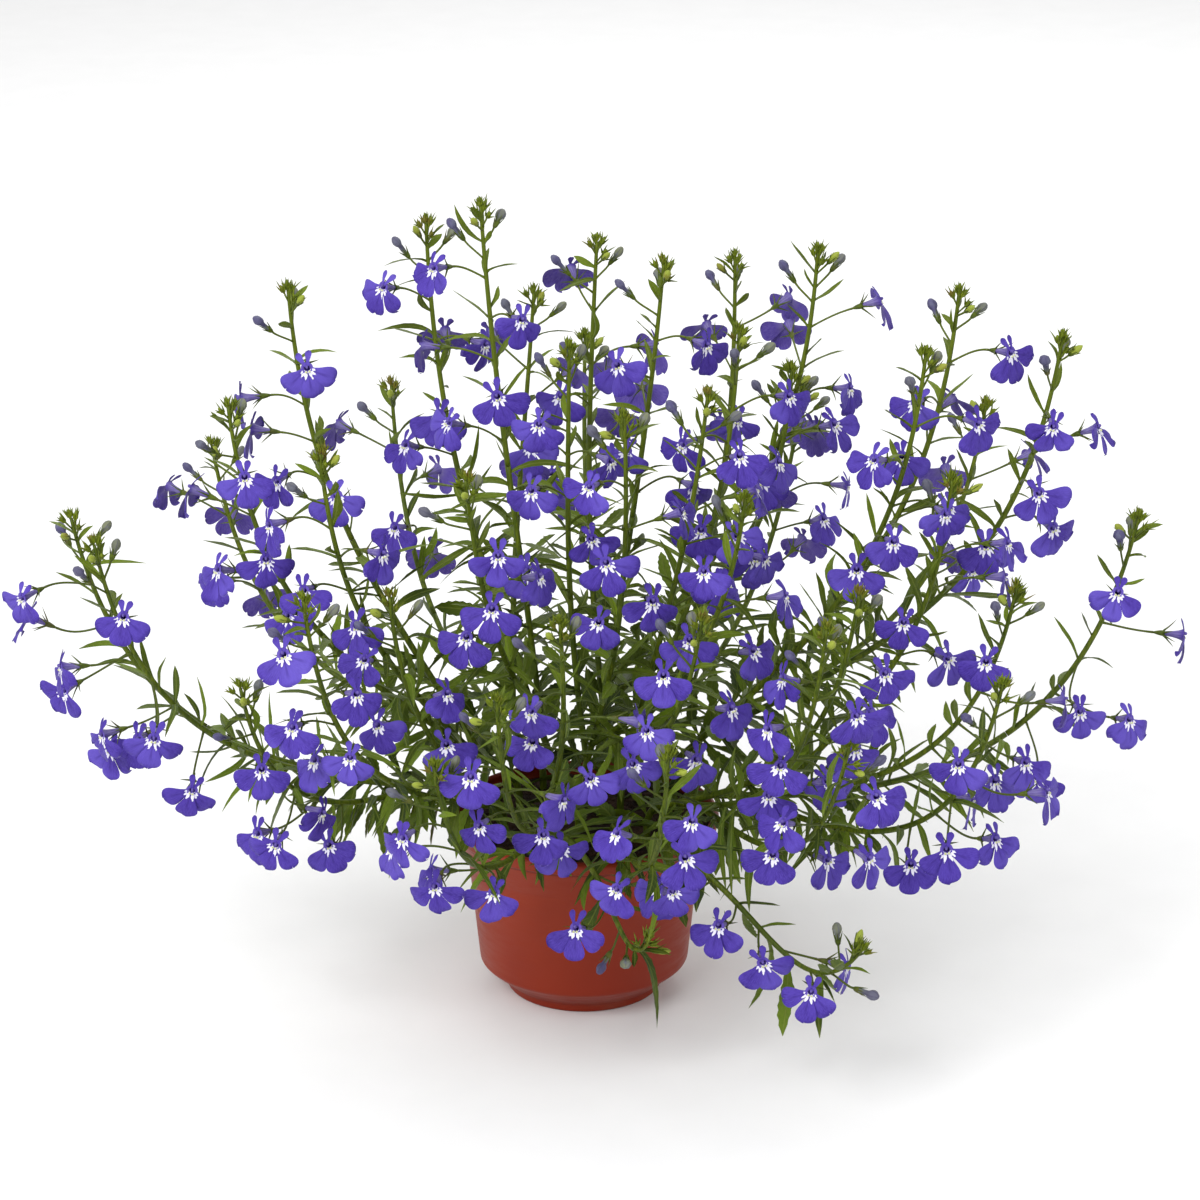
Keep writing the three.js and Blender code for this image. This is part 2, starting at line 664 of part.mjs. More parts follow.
function leafyStemSolid(clumpShoots) {
  const main = clumpShoots[0];
  const bend = STEM_BEND - STEM_FOOT;
  const forks = [bend, ...clumpShoots.map((_, j) => main.trunk + FORK_STEP * j)];
  const parts = clumpShoots.map((shoot) => {
    const end = shoot.split - SPLIT_GAP / 2;
    const first = shoot.isMain ? STEM_RADIUS : STEM_RADIUS * 0.8;
    const radiusAt = (s) => first + ((SPLIT_RADIUS - first) * s) / end;
    const between = leafPlaces(shoot).filter((s, rank) => rank % 3 === 0 && s > 12);
    const leaves = shoot.leaves.filter((leaf) => leaf.rank % LEAF_SHARE === 0);
    const stops = [0, ...(shoot.isMain ? forks : []), ...between, end];
    return growStem(shoot.path, stops, makeSprouts(leaves, growLeaf), radiusAt);
  });
  return fuse(parts);
}

// Join solids into one body and drop loose scraps
function fuse(parts) {
  const joined = parts.reduce((whole, part) => whole.add(part)).simplify(JOIN_TOLERANCE);
  const bodies = joined.decompose().sort((a, b) => b.volume() - a.volume());
  if (bodies.length > 1 && bodies[1].volume() > 0.5) throw new Error('a piece is loose from its stem');
  return bodies[0];
}

// Turned pieces: a profile of [radius, height] from the axis round to the axis
function turned(profile, sides) {
  const points = profile.map(([r, z]) => new THREE.Vector2(r, z));
  const geometry = new THREE.LatheGeometry(points, sides).rotateX(Math.PI / 2);
  geometry.deleteAttribute('normal');
  geometry.deleteAttribute('uv');
  return mergeVertices(geometry, 1e-4);
}

function asSolid(geometry) {
  const position = geometry.attributes.position.array;
  const points = [];
  for (let i = 0; i < position.length; i += 3) points.push([position[i], position[i + 1], position[i + 2]]);
  const faces = [];
  const index = geometry.index.array;
  for (let i = 0; i < index.length; i += 3) {
    if (index[i] === index[i + 1] || index[i + 1] === index[i + 2] || index[i] === index[i + 2]) continue;
    faces.push([index[i], index[i + 1], index[i + 2]]);
  }
  return solid(points, faces);
}

function post(x, y, low, high, radius, sides) {
  const skin = { points: [], faces: [] };
  const foot = addRing(skin, ring([x, y, low], [1, 0, 0], [0, 1, 0], radius, sides));
  const head = addRing(skin, ring([x, y, high], [1, 0, 0], [0, 1, 0], radius, sides));
  cap(skin, [...foot].reverse());
  bridge(skin, foot, head);
  cap(skin, head);
  return solid(skin.points, skin.faces);
}

function potSolid() {
  const inside = [
    [POT_CREST[0] - 1.2, POT_CREST[1] - 0.8],
    [POT_COLLAR[0] - POT_WALL - 0.7, POT_COLLAR[1] + 0.4],
    [POT_WAIST[0] - POT_WALL, POT_WAIST[1] + 0.7],
    [POT_SHOULDER[0] - POT_WALL, POT_SHOULDER[1] + 0.7],
    [POT_FOOT[0] - POT_WALL - 1.1, POT_FLOOR],
  ];
  const outside = [[POT_FOOT[0] - 0.4, 0], POT_FOOT, POT_SHOULDER, POT_WAIST, POT_COLLAR, POT_LIP, POT_CREST];
  let pot = asSolid(turned([[0, 0], ...outside, ...inside, [0, POT_FLOOR]], POT_SIDES));
  for (let i = 0; i < DRAIN_COUNT; i++) {
    const turn = (2 * Math.PI * (i + 0.5)) / DRAIN_COUNT;
    const at = times(level(turn), DRAIN_RING);
    pot = pot.subtract(post(at[0], at[1], -1, POT_FLOOR + 1, DRAIN_RADIUS, 8));
  }
  return pot;
}

function soilSolid() {
  const gap = SOIL_GAP;
  const profile = [
    [0, POT_FLOOR + gap],
    [POT_FOOT[0] - POT_WALL - 1.1 - gap, POT_FLOOR + gap],
    [POT_SHOULDER[0] - POT_WALL - gap, POT_SHOULDER[1] + 1],
    [POT_WAIST[0] - POT_WALL - gap, POT_WAIST[1] + 0.7],
    [POT_COLLAR[0] - POT_WALL - 1.8, SOIL_TOP],
    [25, SOIL_TOP + 0.5],
    [0, SOIL_TOP + 0.8],
  ];
  const geometry = turned(profile, POT_SIDES);
  const position = geometry.attributes.position;
  for (let i = 0; i < position.count; i++) {
    const x = position.getX(i);
    const y = position.getY(i);
    if (position.getZ(i) <= SOIL_TOP + 0.2) continue;
    const swell = 0.45 * Math.sin(x * 0.37 + 1) * Math.cos(y * 0.41) + 0.3 * Math.sin(y * 0.9);
    position.setZ(i, position.getZ(i) + swell);
  }
  let soil = asSolid(geometry);
  for (const { root } of CLUMPS) {
    const radius = (STEM_RADIUS + HOLE_GAP) / Math.cos(Math.PI / 6);
    soil = soil.subtract(post(root[0], root[1], HOLE_FLOOR, SOIL_TOP + 6, radius, 6));
  }
  return soil;
}

// Scene graph
const terracotta = new THREE.MeshStandardMaterial({ color: 0x8f4436, roughness: 0.5, metalness: 0 });
const compost = new THREE.MeshStandardMaterial({ color: 0x1c120c, roughness: 0.95, metalness: 0 });
const leafGreen = new THREE.MeshStandardMaterial({ color: 0x4f6a1e, roughness: 0.6, metalness: 0 });
const bloomViolet = new THREE.MeshStandardMaterial({ color: 0x6350b4, roughness: 0.6, metalness: 0 });

function mesh(name, body, material) {
  const made = body.getMesh();
  const geometry = new THREE.BufferGeometry();
  geometry.setAttribute('position', new THREE.BufferAttribute(new Float32Array(made.vertProperties), 3));
  geometry.setIndex(new THREE.BufferAttribute(new Uint32Array(made.triVerts), 1));
  geometry.computeVertexNormals();
  const result = new THREE.Mesh(geometry, material);
  result.name = name;
  return result;
}

const shoots = layShoots();
layFlowers(shoots);
layBuds(shoots);
layLeaves(shoots);

const lobelia = new THREE.Group();
lobelia.name = 'potted_lobelia';
lobelia.add(mesh('pot', potSolid(), terracotta));
lobelia.add(mesh('soil', soilSolid(), compost));
const twoDigits = (n) => String(n).padStart(2, '0');
CLUMPS.forEach((_, c) => {
  const own = shoots.filter((shoot) => shoot.clump === c);
  lobelia.add(mesh(`leafy_stem_${twoDigits(c + 1)}`, leafyStemSolid(own), leafGreen));
});
shoots.forEach((shoot, k) => {
  lobelia.add(mesh(`spray_${twoDigits(k + 1)}`, spraySolid(shoot), bloomViolet));
});

export default lobelia;
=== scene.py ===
"""Looks for the potted lobelia: fine petals, leaves, stems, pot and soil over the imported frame.
The plant is laid out in millimetres by the rules of the part's source, and every mesh is made in metres."""
import math

import bpy
import numpy as np
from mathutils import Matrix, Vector, noise


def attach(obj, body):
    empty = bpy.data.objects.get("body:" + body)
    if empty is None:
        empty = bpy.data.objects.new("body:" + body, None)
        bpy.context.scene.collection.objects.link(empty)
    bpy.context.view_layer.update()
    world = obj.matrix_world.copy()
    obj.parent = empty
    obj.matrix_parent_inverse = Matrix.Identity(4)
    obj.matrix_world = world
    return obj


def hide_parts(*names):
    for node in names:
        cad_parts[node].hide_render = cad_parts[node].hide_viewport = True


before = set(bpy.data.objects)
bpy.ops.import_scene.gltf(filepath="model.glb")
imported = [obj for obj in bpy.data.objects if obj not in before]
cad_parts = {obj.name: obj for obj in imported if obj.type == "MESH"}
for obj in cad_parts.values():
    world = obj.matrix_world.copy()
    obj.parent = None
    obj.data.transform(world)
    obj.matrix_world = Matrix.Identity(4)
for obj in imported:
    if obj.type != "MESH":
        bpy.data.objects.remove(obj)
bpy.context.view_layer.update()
MM = 0.001

# Pot and soil, in millimetres: [radius, height]
POT_FOOT = [30.2, 3.2]
POT_SHOULDER = [40.3, 11.6]
POT_WAIST = [44.6, 53.5]
POT_COLLAR = [51.4, 67.4]
POT_LIP = [52.1, 70.4]
POT_CREST = [50.3, 71.8]
POT_WALL = 1.6
POT_FLOOR = 3
POT_SIDES = 144
CORNER_RADIUS = 1.1
SHARP_ANGLE = 50
DRAIN_RADIUS = 3.5
DRAIN_RING = 20
DRAIN_COUNT = 4
DRAIN_SIDES = 28
SOIL_TOP = 66.5
SOIL_GAP = 0.35
SOIL_SIDES = 160
SOIL_RINGS = 45
CRUMB_COUNT = 620

# Stems
STEM_FOOT = 56
STEM_BEND = 71
STEM_CROWN = 80
STEM_REACH = 9
STEM_RADIUS = 1.5
FORK_RADIUS = 1.275
JOIN_RADIUS = 1.15
TOP_RADIUS = 0.65
FORK_STEP = 9
SPRAY_LENGTH = 100
SPRAY_SHARE = 0.6
LOW_SPRAY_SHARE = 0.74
SPLIT_GAP = 0.3

# Flowers
FLOWER_STEP = 15
LOW_FLOWER_STEP = 13
BACK_FLOWER_STEP = 17
FIRST_FLOWER = 29
LAST_FLOWER = 7
GLANCE = 42
FIRST_BUD = 9
LOBE_TURN = 57
HORN_TURN = 20
TUBE_LENGTH = 12

# Leaves
LEAF_STEP = 11
TOOTHED_WIDTH = 4.6
NARROW_WIDTH = 2.7
SMALL_WIDTH = 2.4
GOLDEN_TURN = 137.5

# A tip is at the back behind the first of these, in front before the second, low and hanging below the others
BACK_TIP = 60
FRONT_TIP = -55
LOW_TIP = 200
HANGING_TIP = 100

# Clear space round each ball, the furthest at which a ball is looked for, and how many there may be
MARGIN = 0.35
LOOKOUT = 4.5
MOST_BALLS = 60000

# Seeds of the draws: those of the layout grow with each shoot, and the others with each thing on it too
SHOOT_SEED = 100
FLOWER_SEED = 5075
BUD_SEED = 900
LEAF_SEED = 1300
MORE_SEED = 1700
BLOOM_SEED = 3000
CLOSED_SEED = 4000
TIP_SEED = 5000
BRACT_SEED = 6000
BLADE_SEED = 9000
CRUMB_SEED = 71

# Each clump: where its stem stands in the soil, and where the tips of its shoots are, the main shoot first
CLUMPS = [
    ([-35, 2], [[-192, 0, 190], [-180, -30, 190], [-125, -60, 145]]),
    ([-25, 13], [[-130, -20, 240], [-110, 20, 273], [-95, -45, 230]]),
    ([-30, -15], [[-98, -104, 195], [-70, -60, 180]]),
    ([-10, 12], [[-60, 60, 288], [-38, 20, 305], [-42, -60, 225]]),
    ([6, 22], [[30, 30, 280], [5, 70, 278], [80, 60, 230], [90, 75, 273]]),
    ([-2, -6], [[15, -50, 245], [-5, -20, 262], [58, -72, 222], [42, -98, 185]]),
    ([14, 4], [[45, -40, 250], [58, 15, 258]]),
    ([28, 12], [[140, 20, 272], [125, -20, 260], [178, 10, 257]]),
    ([36, -3], [[208, 0, 190], [158, -50, 180], [150, -90, 158], [135, -30, 215]]),
    ([24, -17], [[98, -90, 192], [85, -120, 190], [93, -130, 150]]),
    ([11, -28], [[30, -136, 150], [100, -120, 68]]),
    ([-12, -27], [[-30, -120, 163], [-52, -130, 143], [-8, -92, 182], [24, -92, 58]]),
    ([-16, 32], [[-80, 170, 190], [-150, 120, 180], [-20, 115, 245]]),
    ([16, 33], [[90, 170, 190], [0, 190, 205], [160, 110, 200], [60, 130, 255]]),
]
UP = np.array([0.0, 0.0, 1.0])


# Vectors are arrays, with sums in the same order as in the part's source
def dot(a, b):
    return a[0] * b[0] + a[1] * b[1] + a[2] * b[2]


def cross(a, b):
    return np.array([a[1] * b[2] - a[2] * b[1], a[2] * b[0] - a[0] * b[2], a[0] * b[1] - a[1] * b[0]])


def size(a):
    return math.sqrt(dot(a, a))


def unit(a):
    return np.array(a) * (1 / size(a))


def radians(degrees):
    return (degrees * math.pi) / 180


def limit(value, low, high):
    return min(max(value, low), high)


def level(azimuth):
    return np.array([math.cos(azimuth), math.sin(azimuth), 0])


def raised(flat, climb):
    return np.array([flat[0] * math.cos(climb), flat[1] * math.cos(climb), math.sin(climb)])


def swing(a, b, turn):
    """The direction a, turned towards b."""
    return a * math.cos(turn) + b * math.sin(turn)


def square_to(axis):
    side = unit(cross(UP, axis) if abs(axis[2]) < 0.9 else cross((1, 0, 0), axis))
    return side, cross(axis, side)


def bezier(a, b, c, d, count):
    points = []
    for i in range(count + 1):
        t = i / count
        u = 1 - t
        points.append(a * (u * u * u) + b * (3 * u * u * t) + (c * (3 * u * t * t) + d * (t * t * t)))
    return points


def make_random(seed):
    state = [seed * 7919 + 17]

    def draw():
        state[0] = (state[0] * 48271) % 2147483647
        return state[0] / 2147483647

    draw()
    draw()
    return lambda low, high: low + (high - low) * draw()


class Path:
    """A path through points, measured by its length."""

    def __init__(self, points):
        self.points = points
        self.reach = [0.0]
        for a, b in zip(points, points[1:]):
            self.reach.append(self.reach[-1] + size(b - a))
        self.total = self.reach[-1]

    def point(self, s):
        i = 1
        while i < len(self.points) - 1 and self.reach[i] < s:
            i += 1
        t = (s - self.reach[i - 1]) / (self.reach[i] - self.reach[i - 1])
        return self.points[i - 1] + (self.points[i] - self.points[i - 1]) * t

    def heading(self, s):
        return unit(self.point(min(s + 3, self.total)) - self.point(max(s - 3, 0)))


class Thing:
    """A shoot, flower, bud or leaf of the layout."""

    def __init__(self, **facts):
        self.__dict__.update(facts)


# Space that is taken: balls of centre, radius and owner
taken = np.zeros((MOST_BALLS, 5))
taken_count = 0


def misses_pot(x, y, z, r, _):
    flat = math.sqrt(x * x + y * y)
    is_above = z - r > POT_CREST[1] + 0.5 or (z - r > SOIL_TOP + 2.2 and flat + r < POT_WAIST[0])
    is_beside = flat - r > POT_LIP[0] + 0.7 or (z + r < POT_WAIST[1] and flat - r > POT_WAIST[0] + 1.2)
    return z - r >= 1 and (is_above or is_beside)


def is_clear(balls, owner):
    """Whether balls of centre, radius and own (1 where they may touch their owner's) stand free."""
    if not all(misses_pot(*ball) for ball in balls):
        return False
    mine = np.array(balls)
    others = taken[:taken_count]
    low = (mine[:, :3] - mine[:, 3:4]).min(axis=0) - LOOKOUT
    high = (mine[:, :3] + mine[:, 3:4]).max(axis=0) + LOOKOUT
    near = others[((others[:, :3] > low) & (others[:, :3] < high)).all(axis=1)]
    if not len(near):
        return True
    apart = mine[:, None, 3] + near[None, :, 3] + MARGIN
    gap = ((mine[:, None, :3] - near[None, :, :3]) ** 2).sum(axis=2)
    own = (mine[:, None, 4] > 0) & (near[None, :, 4] == owner)
    return not ((gap < apart * apart) & ~own).any()


def take(balls, owner):
    global taken_count
    for ball in balls:
        taken[taken_count] = (*ball[:4], owner)
        taken_count += 1


def settle(thing, balls, owner, into):
    """Puts a thing on its list if its balls stand free."""
    if not is_clear(balls, owner):
        return False
    take(balls, 0)
    into.append(thing)
    return True


def row(point, start, end, step, radius, own_end):
    """Balls along a way. Those before own_end may touch their owner's."""
    balls = []
    s = start
    while s < end:
        balls.append((*point(s), radius, 1 if s < own_end else 0))
        s += step
    return balls


# Shoots
def shoot_slopes(chord):
    flat = math.sqrt(chord[0] * chord[0] + chord[1] * chord[1])
    climb = (math.atan2(chord[2], flat) * 180) / math.pi
    if climb < 12:
        return 18, 55, 0.5
    first = limit(1.75 * climb - 62, -6, 86)
    return first, limit(2 * climb - first + 8, 30, 86), 0.52 - 0.0016 * climb


def shoot_curve(start, tip, bow):
    chord = tip - start
    flat = unit((chord[0], chord[1], 0))
    across = np.array([-flat[1], flat[0], 0])
    first, last, grip = shoot_slopes(chord)
    handle = size(chord) * grip
    leave = start + raised(flat, radians(first)) * handle + across * bow
    arrive = tip - raised(flat, radians(last)) * handle + across * (bow * 0.6)
    return bezier(start, leave, arrive, tip, 40)


def main_curve(root, tip, bow):
    foot, bend, crown = (np.array([*root, z], float) for z in (STEM_FOOT, STEM_BEND, STEM_CROWN))
    chord = tip - crown
    flat = unit((chord[0], chord[1], 0))
    fork = crown + raised(flat, radians(shoot_slopes(chord)[0])) * STEM_REACH
    points = [foot]
    for i in range(8):
        t = i / 8
        a = bend + (crown - bend) * t
        b = crown + (fork - crown) * t
        points.append(a + (b - a) * t)
    return points + shoot_curve(fork, tip, bow)


def stem_balls(shoot):
    balls = row(shoot.path.point, 20 if shoot.is_main else 0, shoot.total, 2.5, 1.25, shoot.split - 1)
    return balls + [(*(shoot.tip + shoot.path.heading(shoot.total)), 3, 0)]


def lay_shoots():
    shoots = []
    for c, (root, tips) in enumerate(CLUMPS):
        main = None
        for j, tip in enumerate(np.array(tips, float)):
            random = make_random(SHOOT_SEED + c * 10 + j)
            is_low = tip[1] < FRONT_TIP and tip[2] < LOW_TIP
            for attempt in range(12):
                bow = random(-8, 8) * (1 + attempt * 0.35)
                if j == 0:
                    points = main_curve(root, tip, bow)
                else:
                    points = shoot_curve(main.path.point(main.trunk + FORK_STEP * j), tip, bow)
                path = Path(points)
                trunk = path.total - Path(points[9:]).total if j == 0 else 0
                spray = (LOW_SPRAY_SHARE if is_low else SPRAY_SHARE) * (path.total - trunk)
                shoot = Thing(clump=c, is_main=j == 0, is_low=is_low, tip=tip, path=path, trunk=trunk,
                              split=path.total - min(SPRAY_LENGTH, spray), total=path.total)
                balls = stem_balls(shoot)
                if is_clear(balls, c):
                    break
            if j == 0:
                main = shoot
            shoot.owner = 100 + len(shoots)
            take([b for b in balls if b[4] == 1], c)
            take([b for b in balls if b[4] == 0], shoot.owner)
            shoots.append(shoot)
    return shoots


def flower_sides(tip):
    out = unit((tip[0], tip[1], 0))
    front = unit((out[0] * 0.45, out[1] * 0.45 - 1, 0))
    if tip[1] > BACK_TIP:
        return out, unit((out[0], -0.6, 0))
    back = unit((out[0], abs(out[1]) + 0.7, 0))
    return front, back if tip[1] > 15 else front


def flower_balls(flower):
    k = flower.scale
    balls = []

    def place(x, y, z, r):
        p = flower.throat + flower.right * (x * k) + flower.up * (y * k) + flower.face * z
        balls.append((*p, r * k, 0))

    place(0, 0, -1.6, 2.6)
    for turn in (-LOBE_TURN, 0, LOBE_TURN):
        a = radians(turn - 90)
        for r, w, ball in ((4.2, 0, 2.2), (7.6, 2, 2.1), (7.6, -2, 2.1), (10, 1.4, 1.8), (10, -1.4, 1.8)):
            place(r * math.cos(a) - w * math.sin(a), r * math.sin(a) + w * math.cos(a), 0, ball)
    for turn in (-HORN_TURN, HORN_TURN):
        a = radians(90 + turn)
        place(3.5 * math.cos(a), 3.5 * math.sin(a), -0.8, 1.1)
        place(6 * math.cos(a), 6 * math.sin(a), -1.4, 1.3)
    for z in (-4, -6.5, -9, -11.5):
        place(0, 0, z, 1.7)
    stalk = flower.calyx - flower.root
    length = size(stalk)
    return balls + row(lambda s: flower.root + stalk * (s / length), 1.5, length, 2, 0.9, 5)


def lay_flower(shoot, s, side, toward, droop, veer, random, attempt):
    root = shoot.path.point(s)
    base = math.atan2(toward[1], toward[0])
    wide = 6 * attempt
    out = level(base + side * radians(random(30, 75 + wide)))
    start = unit(swing(shoot.path.heading(s), out, radians(random(48, 66))) - UP * droop)
    azimuth = base + side * radians(random(veer, veer + 34 + wide))
    face = raised(level(azimuth), radians(random(-8, 26)))
    chord = unit(start * 0.75 + face * 0.42)
    calyx = root + chord * (random(13, 19) + 5 * droop)
    roll = radians(random(-24, 24))
    flat = unit(cross(UP, face))
    up = swing(cross(face, flat), flat, roll)
    return Thing(s=s, root=root, start=start, calyx=calyx, throat=calyx + face * TUBE_LENGTH, face=face,
                 up=up, right=cross(up, face), scale=random(0.94, 1.08))


def lay_flowers(shoots):
    for k, shoot in enumerate(shoots):
        random = make_random(FLOWER_SEED + k)
        sides = flower_sides(shoot.tip)
        shoot.flowers = []
        side = 1 if random(0, 1) < 0.5 else -1
        count = 0
        is_back = shoot.tip[1] > BACK_TIP
        step = LOW_FLOWER_STEP if shoot.is_low else BACK_FLOWER_STEP if is_back else FLOWER_STEP
        hangs = shoot.tip[2] < LOW_TIP and abs(shoot.tip[0]) > 110 and shoot.tip[1] < BACK_TIP
        s = shoot.total - FIRST_FLOWER
        while s > shoot.split + LAST_FLOWER:
            toward = sides[1 if count % 3 == 2 else 0]
            veer = GLANCE if count % 4 == 1 else 0
            for attempt in range(16):
                turn = -side if attempt % 3 == 2 else side
                droop = limit(0.4 * (count + 1), 0, 1.2) if hangs and attempt < 10 else 0
                flower = lay_flower(shoot, s + random(-2, 2), turn, toward, droop, veer, random, attempt)
                if settle(flower, flower_balls(flower), shoot.owner, shoot.flowers):
                    break
            side = -side
            count += 1
            s -= step


def bud_balls(bud):
    def point(s):
        return bud.root + bud.heading * s

    ends = [(*point(bud.length - 1.5), 1.9, 0), (*point(bud.length + 1.5), 1.7, 0)]
    return row(point, 1, bud.length - 2, 2, 0.8, 4) + ends


def lay_buds(shoots):
    for k, shoot in enumerate(shoots):
        random = make_random(BUD_SEED + k)
        shoot.buds = []
        for i in range(3):
            s = shoot.total - FIRST_BUD - 5.5 * i
            axis = shoot.path.heading(s)
            a, b = square_to(axis)
            for attempt in range(10):
                out = swing(a, b, radians(GOLDEN_TURN * i + random(-60, 60) + 36 * attempt))
                heading = swing(axis, out, radians(random(38, 62)))
                bud = Thing(root=shoot.path.point(s), heading=heading, length=random(8, 10) + 2.2 * i, rank=i)
                if settle(bud, bud_balls(bud), shoot.owner, shoot.buds):
                    break


def leaf_point(leaf, t):
    return leaf.root + leaf.heading * (leaf.length * t) - leaf.top * (leaf.sag * t * t * leaf.length)


def leaf_balls(leaf):
    balls = []
    s = 2
    while s < leaf.length:
        t = s / leaf.length
        half = leaf.width * (0.2 + 0.3 * math.sin(math.pi * min(t * 1.05, 1)))
        balls.append((*leaf_point(leaf, t), max(half, 1), 1 if s < 4.5 else 0))
        s += 3
    return balls


def lay_leaf(shoot, s, draw, tries, into, owner):
    """Lays a leaf by the first draw of turn, lean, length, width and sag that stands free."""
    axis = shoot.path.heading(s)
    a, b = square_to(axis)
    for attempt in range(tries):
        turn, lean, length, width, sag = draw(attempt)
        out = swing(a, b, turn)
        heading = swing(axis, out, lean)
        side = unit(cross(heading, UP if abs(heading[2]) < 0.95 else out))
        leaf = Thing(root=shoot.path.point(s), heading=heading, side=side, top=cross(side, heading),
                     length=length, width=width, sag=sag)
        if settle(leaf, leaf_balls(leaf), owner, into):
            break


def lay_leaves(shoots):
    """The leaves and the flowers' bracts that the part's source lays out too."""
    for k, shoot in enumerate(shoots):
        random = make_random(LEAF_SEED + k)
        shoot.leaves, shoot.bracts = [], []

        def draw_leaf(attempt):
            return (radians(GOLDEN_TURN * rank + random(-25, 25) + 45 * attempt), radians(random(48, 72)),
                    random(20, 28) - 6 * share, random(6, 8) - 3.4 * share, random(0.05, 0.25))

        def draw_bract(attempt):
            return (opposite + (1 if attempt % 2 == 0 else -1) * random(0.8, 1.25), radians(random(35, 60)),
                    random(12, 19), random(2, 2.6), 0.12)

        s = 22 if shoot.is_main else 7
        rank = 0
        while s < shoot.split - 8:
            share = s / shoot.split
            lay_leaf(shoot, s, draw_leaf, 8, shoot.leaves, shoot.clump)
            s += LEAF_STEP
            rank += 1
        for flower in shoot.flowers:
            stalk = flower.calyx - flower.root
            a, b = square_to(shoot.path.heading(flower.s))
            opposite = math.atan2(dot(stalk, b), dot(stalk, a)) + math.pi
            lay_leaf(shoot, flower.s, draw_bract, 6, shoot.bracts, shoot.owner)


def lay_more_leaves(shoots):
    """The rest of the foliage: leaves between the first ones, and narrow ones among the blooms."""
    for k, shoot in enumerate(shoots):
        random = make_random(MORE_SEED + k)
        shoot.more, shoot.slim = [], []
        is_hanging = shoot.tip[2] < HANGING_TIP
        lush = 2.1 if is_hanging else 1.0
        low_sag = 0.2 * shoot.is_low

        def draw_more(attempt):
            return (random(0, 2 * math.pi), radians(random(35, 78)), random(19, 35) - 7 * share - attempt,
                    random(5.8, 8.8) - 3.9 * share - 0.15 * attempt, random(-0.3, 0.9) + low_sag)

        def draw_slim(attempt):
            return (random(0, 2 * math.pi), radians(random(30, 68)),
                    (random(12, 22) - 5 * share) * math.sqrt(lush),
                    (random(2.4, 4.0) + 0.4 * shoot.is_low) * (1 - 0.4 * share) * lush,
                    random(-0.5, 0.9) + low_sag)

        def draw_small(attempt):
            return (random(0, 2 * math.pi), radians(random(35, 65)), random(7, 12), random(1.6, 2.3),
                    random(-0.3, 0.3))

        for layer in range(9 if is_hanging else 6 if shoot.is_low else 4):
            s = (18 if shoot.is_main else 5) + 2.8 * layer
            while s < shoot.split - 2:
                share = s / shoot.split
                lay_leaf(shoot, s, draw_more, 9, shoot.more, shoot.clump)
                s += LEAF_STEP * random(0.8, 1.2)
        s = shoot.split + 3
        while s < shoot.total - 8:
            share = (s - shoot.split) / (shoot.total - shoot.split)
            lay_leaf(shoot, s, draw_slim, 8, shoot.slim, shoot.owner)
            s += random(8.5, 14) / lush
        for below in (14, 10, 6):
            lay_leaf(shoot, shoot.total - below, draw_small, 6, shoot.slim, shoot.owner)


# Meshes
def link_object(name, data):
    made = bpy.data.objects.new(name, data)
    bpy.context.scene.collection.objects.link(made)
    return made


class Mould:
    """Gathers points, faces, a material number for each face and a mark of three numbers for each point."""

    def __init__(self):
        self.points, self.faces, self.slots, self.marks, self.count = [], [], [], [], 0

    def add(self, points, faces, slot, marks=None):
        points = np.asarray(points, float)
        self.points.append(points)
        self.marks.append(np.zeros((len(points), 3)) if marks is None else np.asarray(marks, float))
        self.faces.extend([tuple(int(i) + self.count for i in face) for face in faces])
        self.slots.extend([slot] * len(faces))
        self.count += len(points)

    def mesh(self, name):
        mesh = bpy.data.meshes.new(name)
        mesh.from_pydata((np.concatenate(self.points) * MM).tolist(), [], self.faces)
        return mesh

    def make(self, name, materials, slot_name, *nodes):
        mesh = self.mesh(name)
        mesh.polygons.foreach_set("use_smooth", [True] * len(mesh.polygons))
        mesh.polygons.foreach_set("material_index", self.slots)
        made = mesh.attributes.new("mark", "FLOAT_VECTOR", "POINT")
        made.data.foreach_set("vector", np.concatenate(self.marks).ravel())
        for material in materials:
            mesh.materials.append(material)
        mesh.update()
        piece = link_object(name, mesh)
        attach(piece, "root")
        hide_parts(*nodes)
        return piece


def grid_faces(rows, columns, flip=False, wrap=False):
    faces = []
    for i in range(rows - 1):
        for j in range(columns if wrap else columns - 1):
            a = i * columns + j
            b = i * columns + (j + 1) % columns
            face = (a, b, b + columns, a + columns)
            faces.append(face[::-1] if flip else face)
    return faces


def ring_angles(sides):
    return np.arange(sides) * 2 * math.pi / sides


def turned_rings(profile, sides, squash=1.0):
    """Points on rings about z: profile is [radius, z]."""
    angles = ring_angles(sides)
    rings = [np.stack([r * np.cos(angles), squash * r * np.sin(angles), np.full(sides, float(z))], axis=1)
             for r, z in profile]
    return np.concatenate(rings)


def spindle_faces(count, sides):
    """Faces of rings that are closed by one point below, after the rings' points, and one above."""
    faces = grid_faces(count, sides, wrap=True)
    top = (count - 1) * sides
    for j in range(sides):
        k = (j + 1) % sides
        faces.append((k, j, count * sides))
        faces.append((top + j, top + k, count * sides + 1))
    return faces


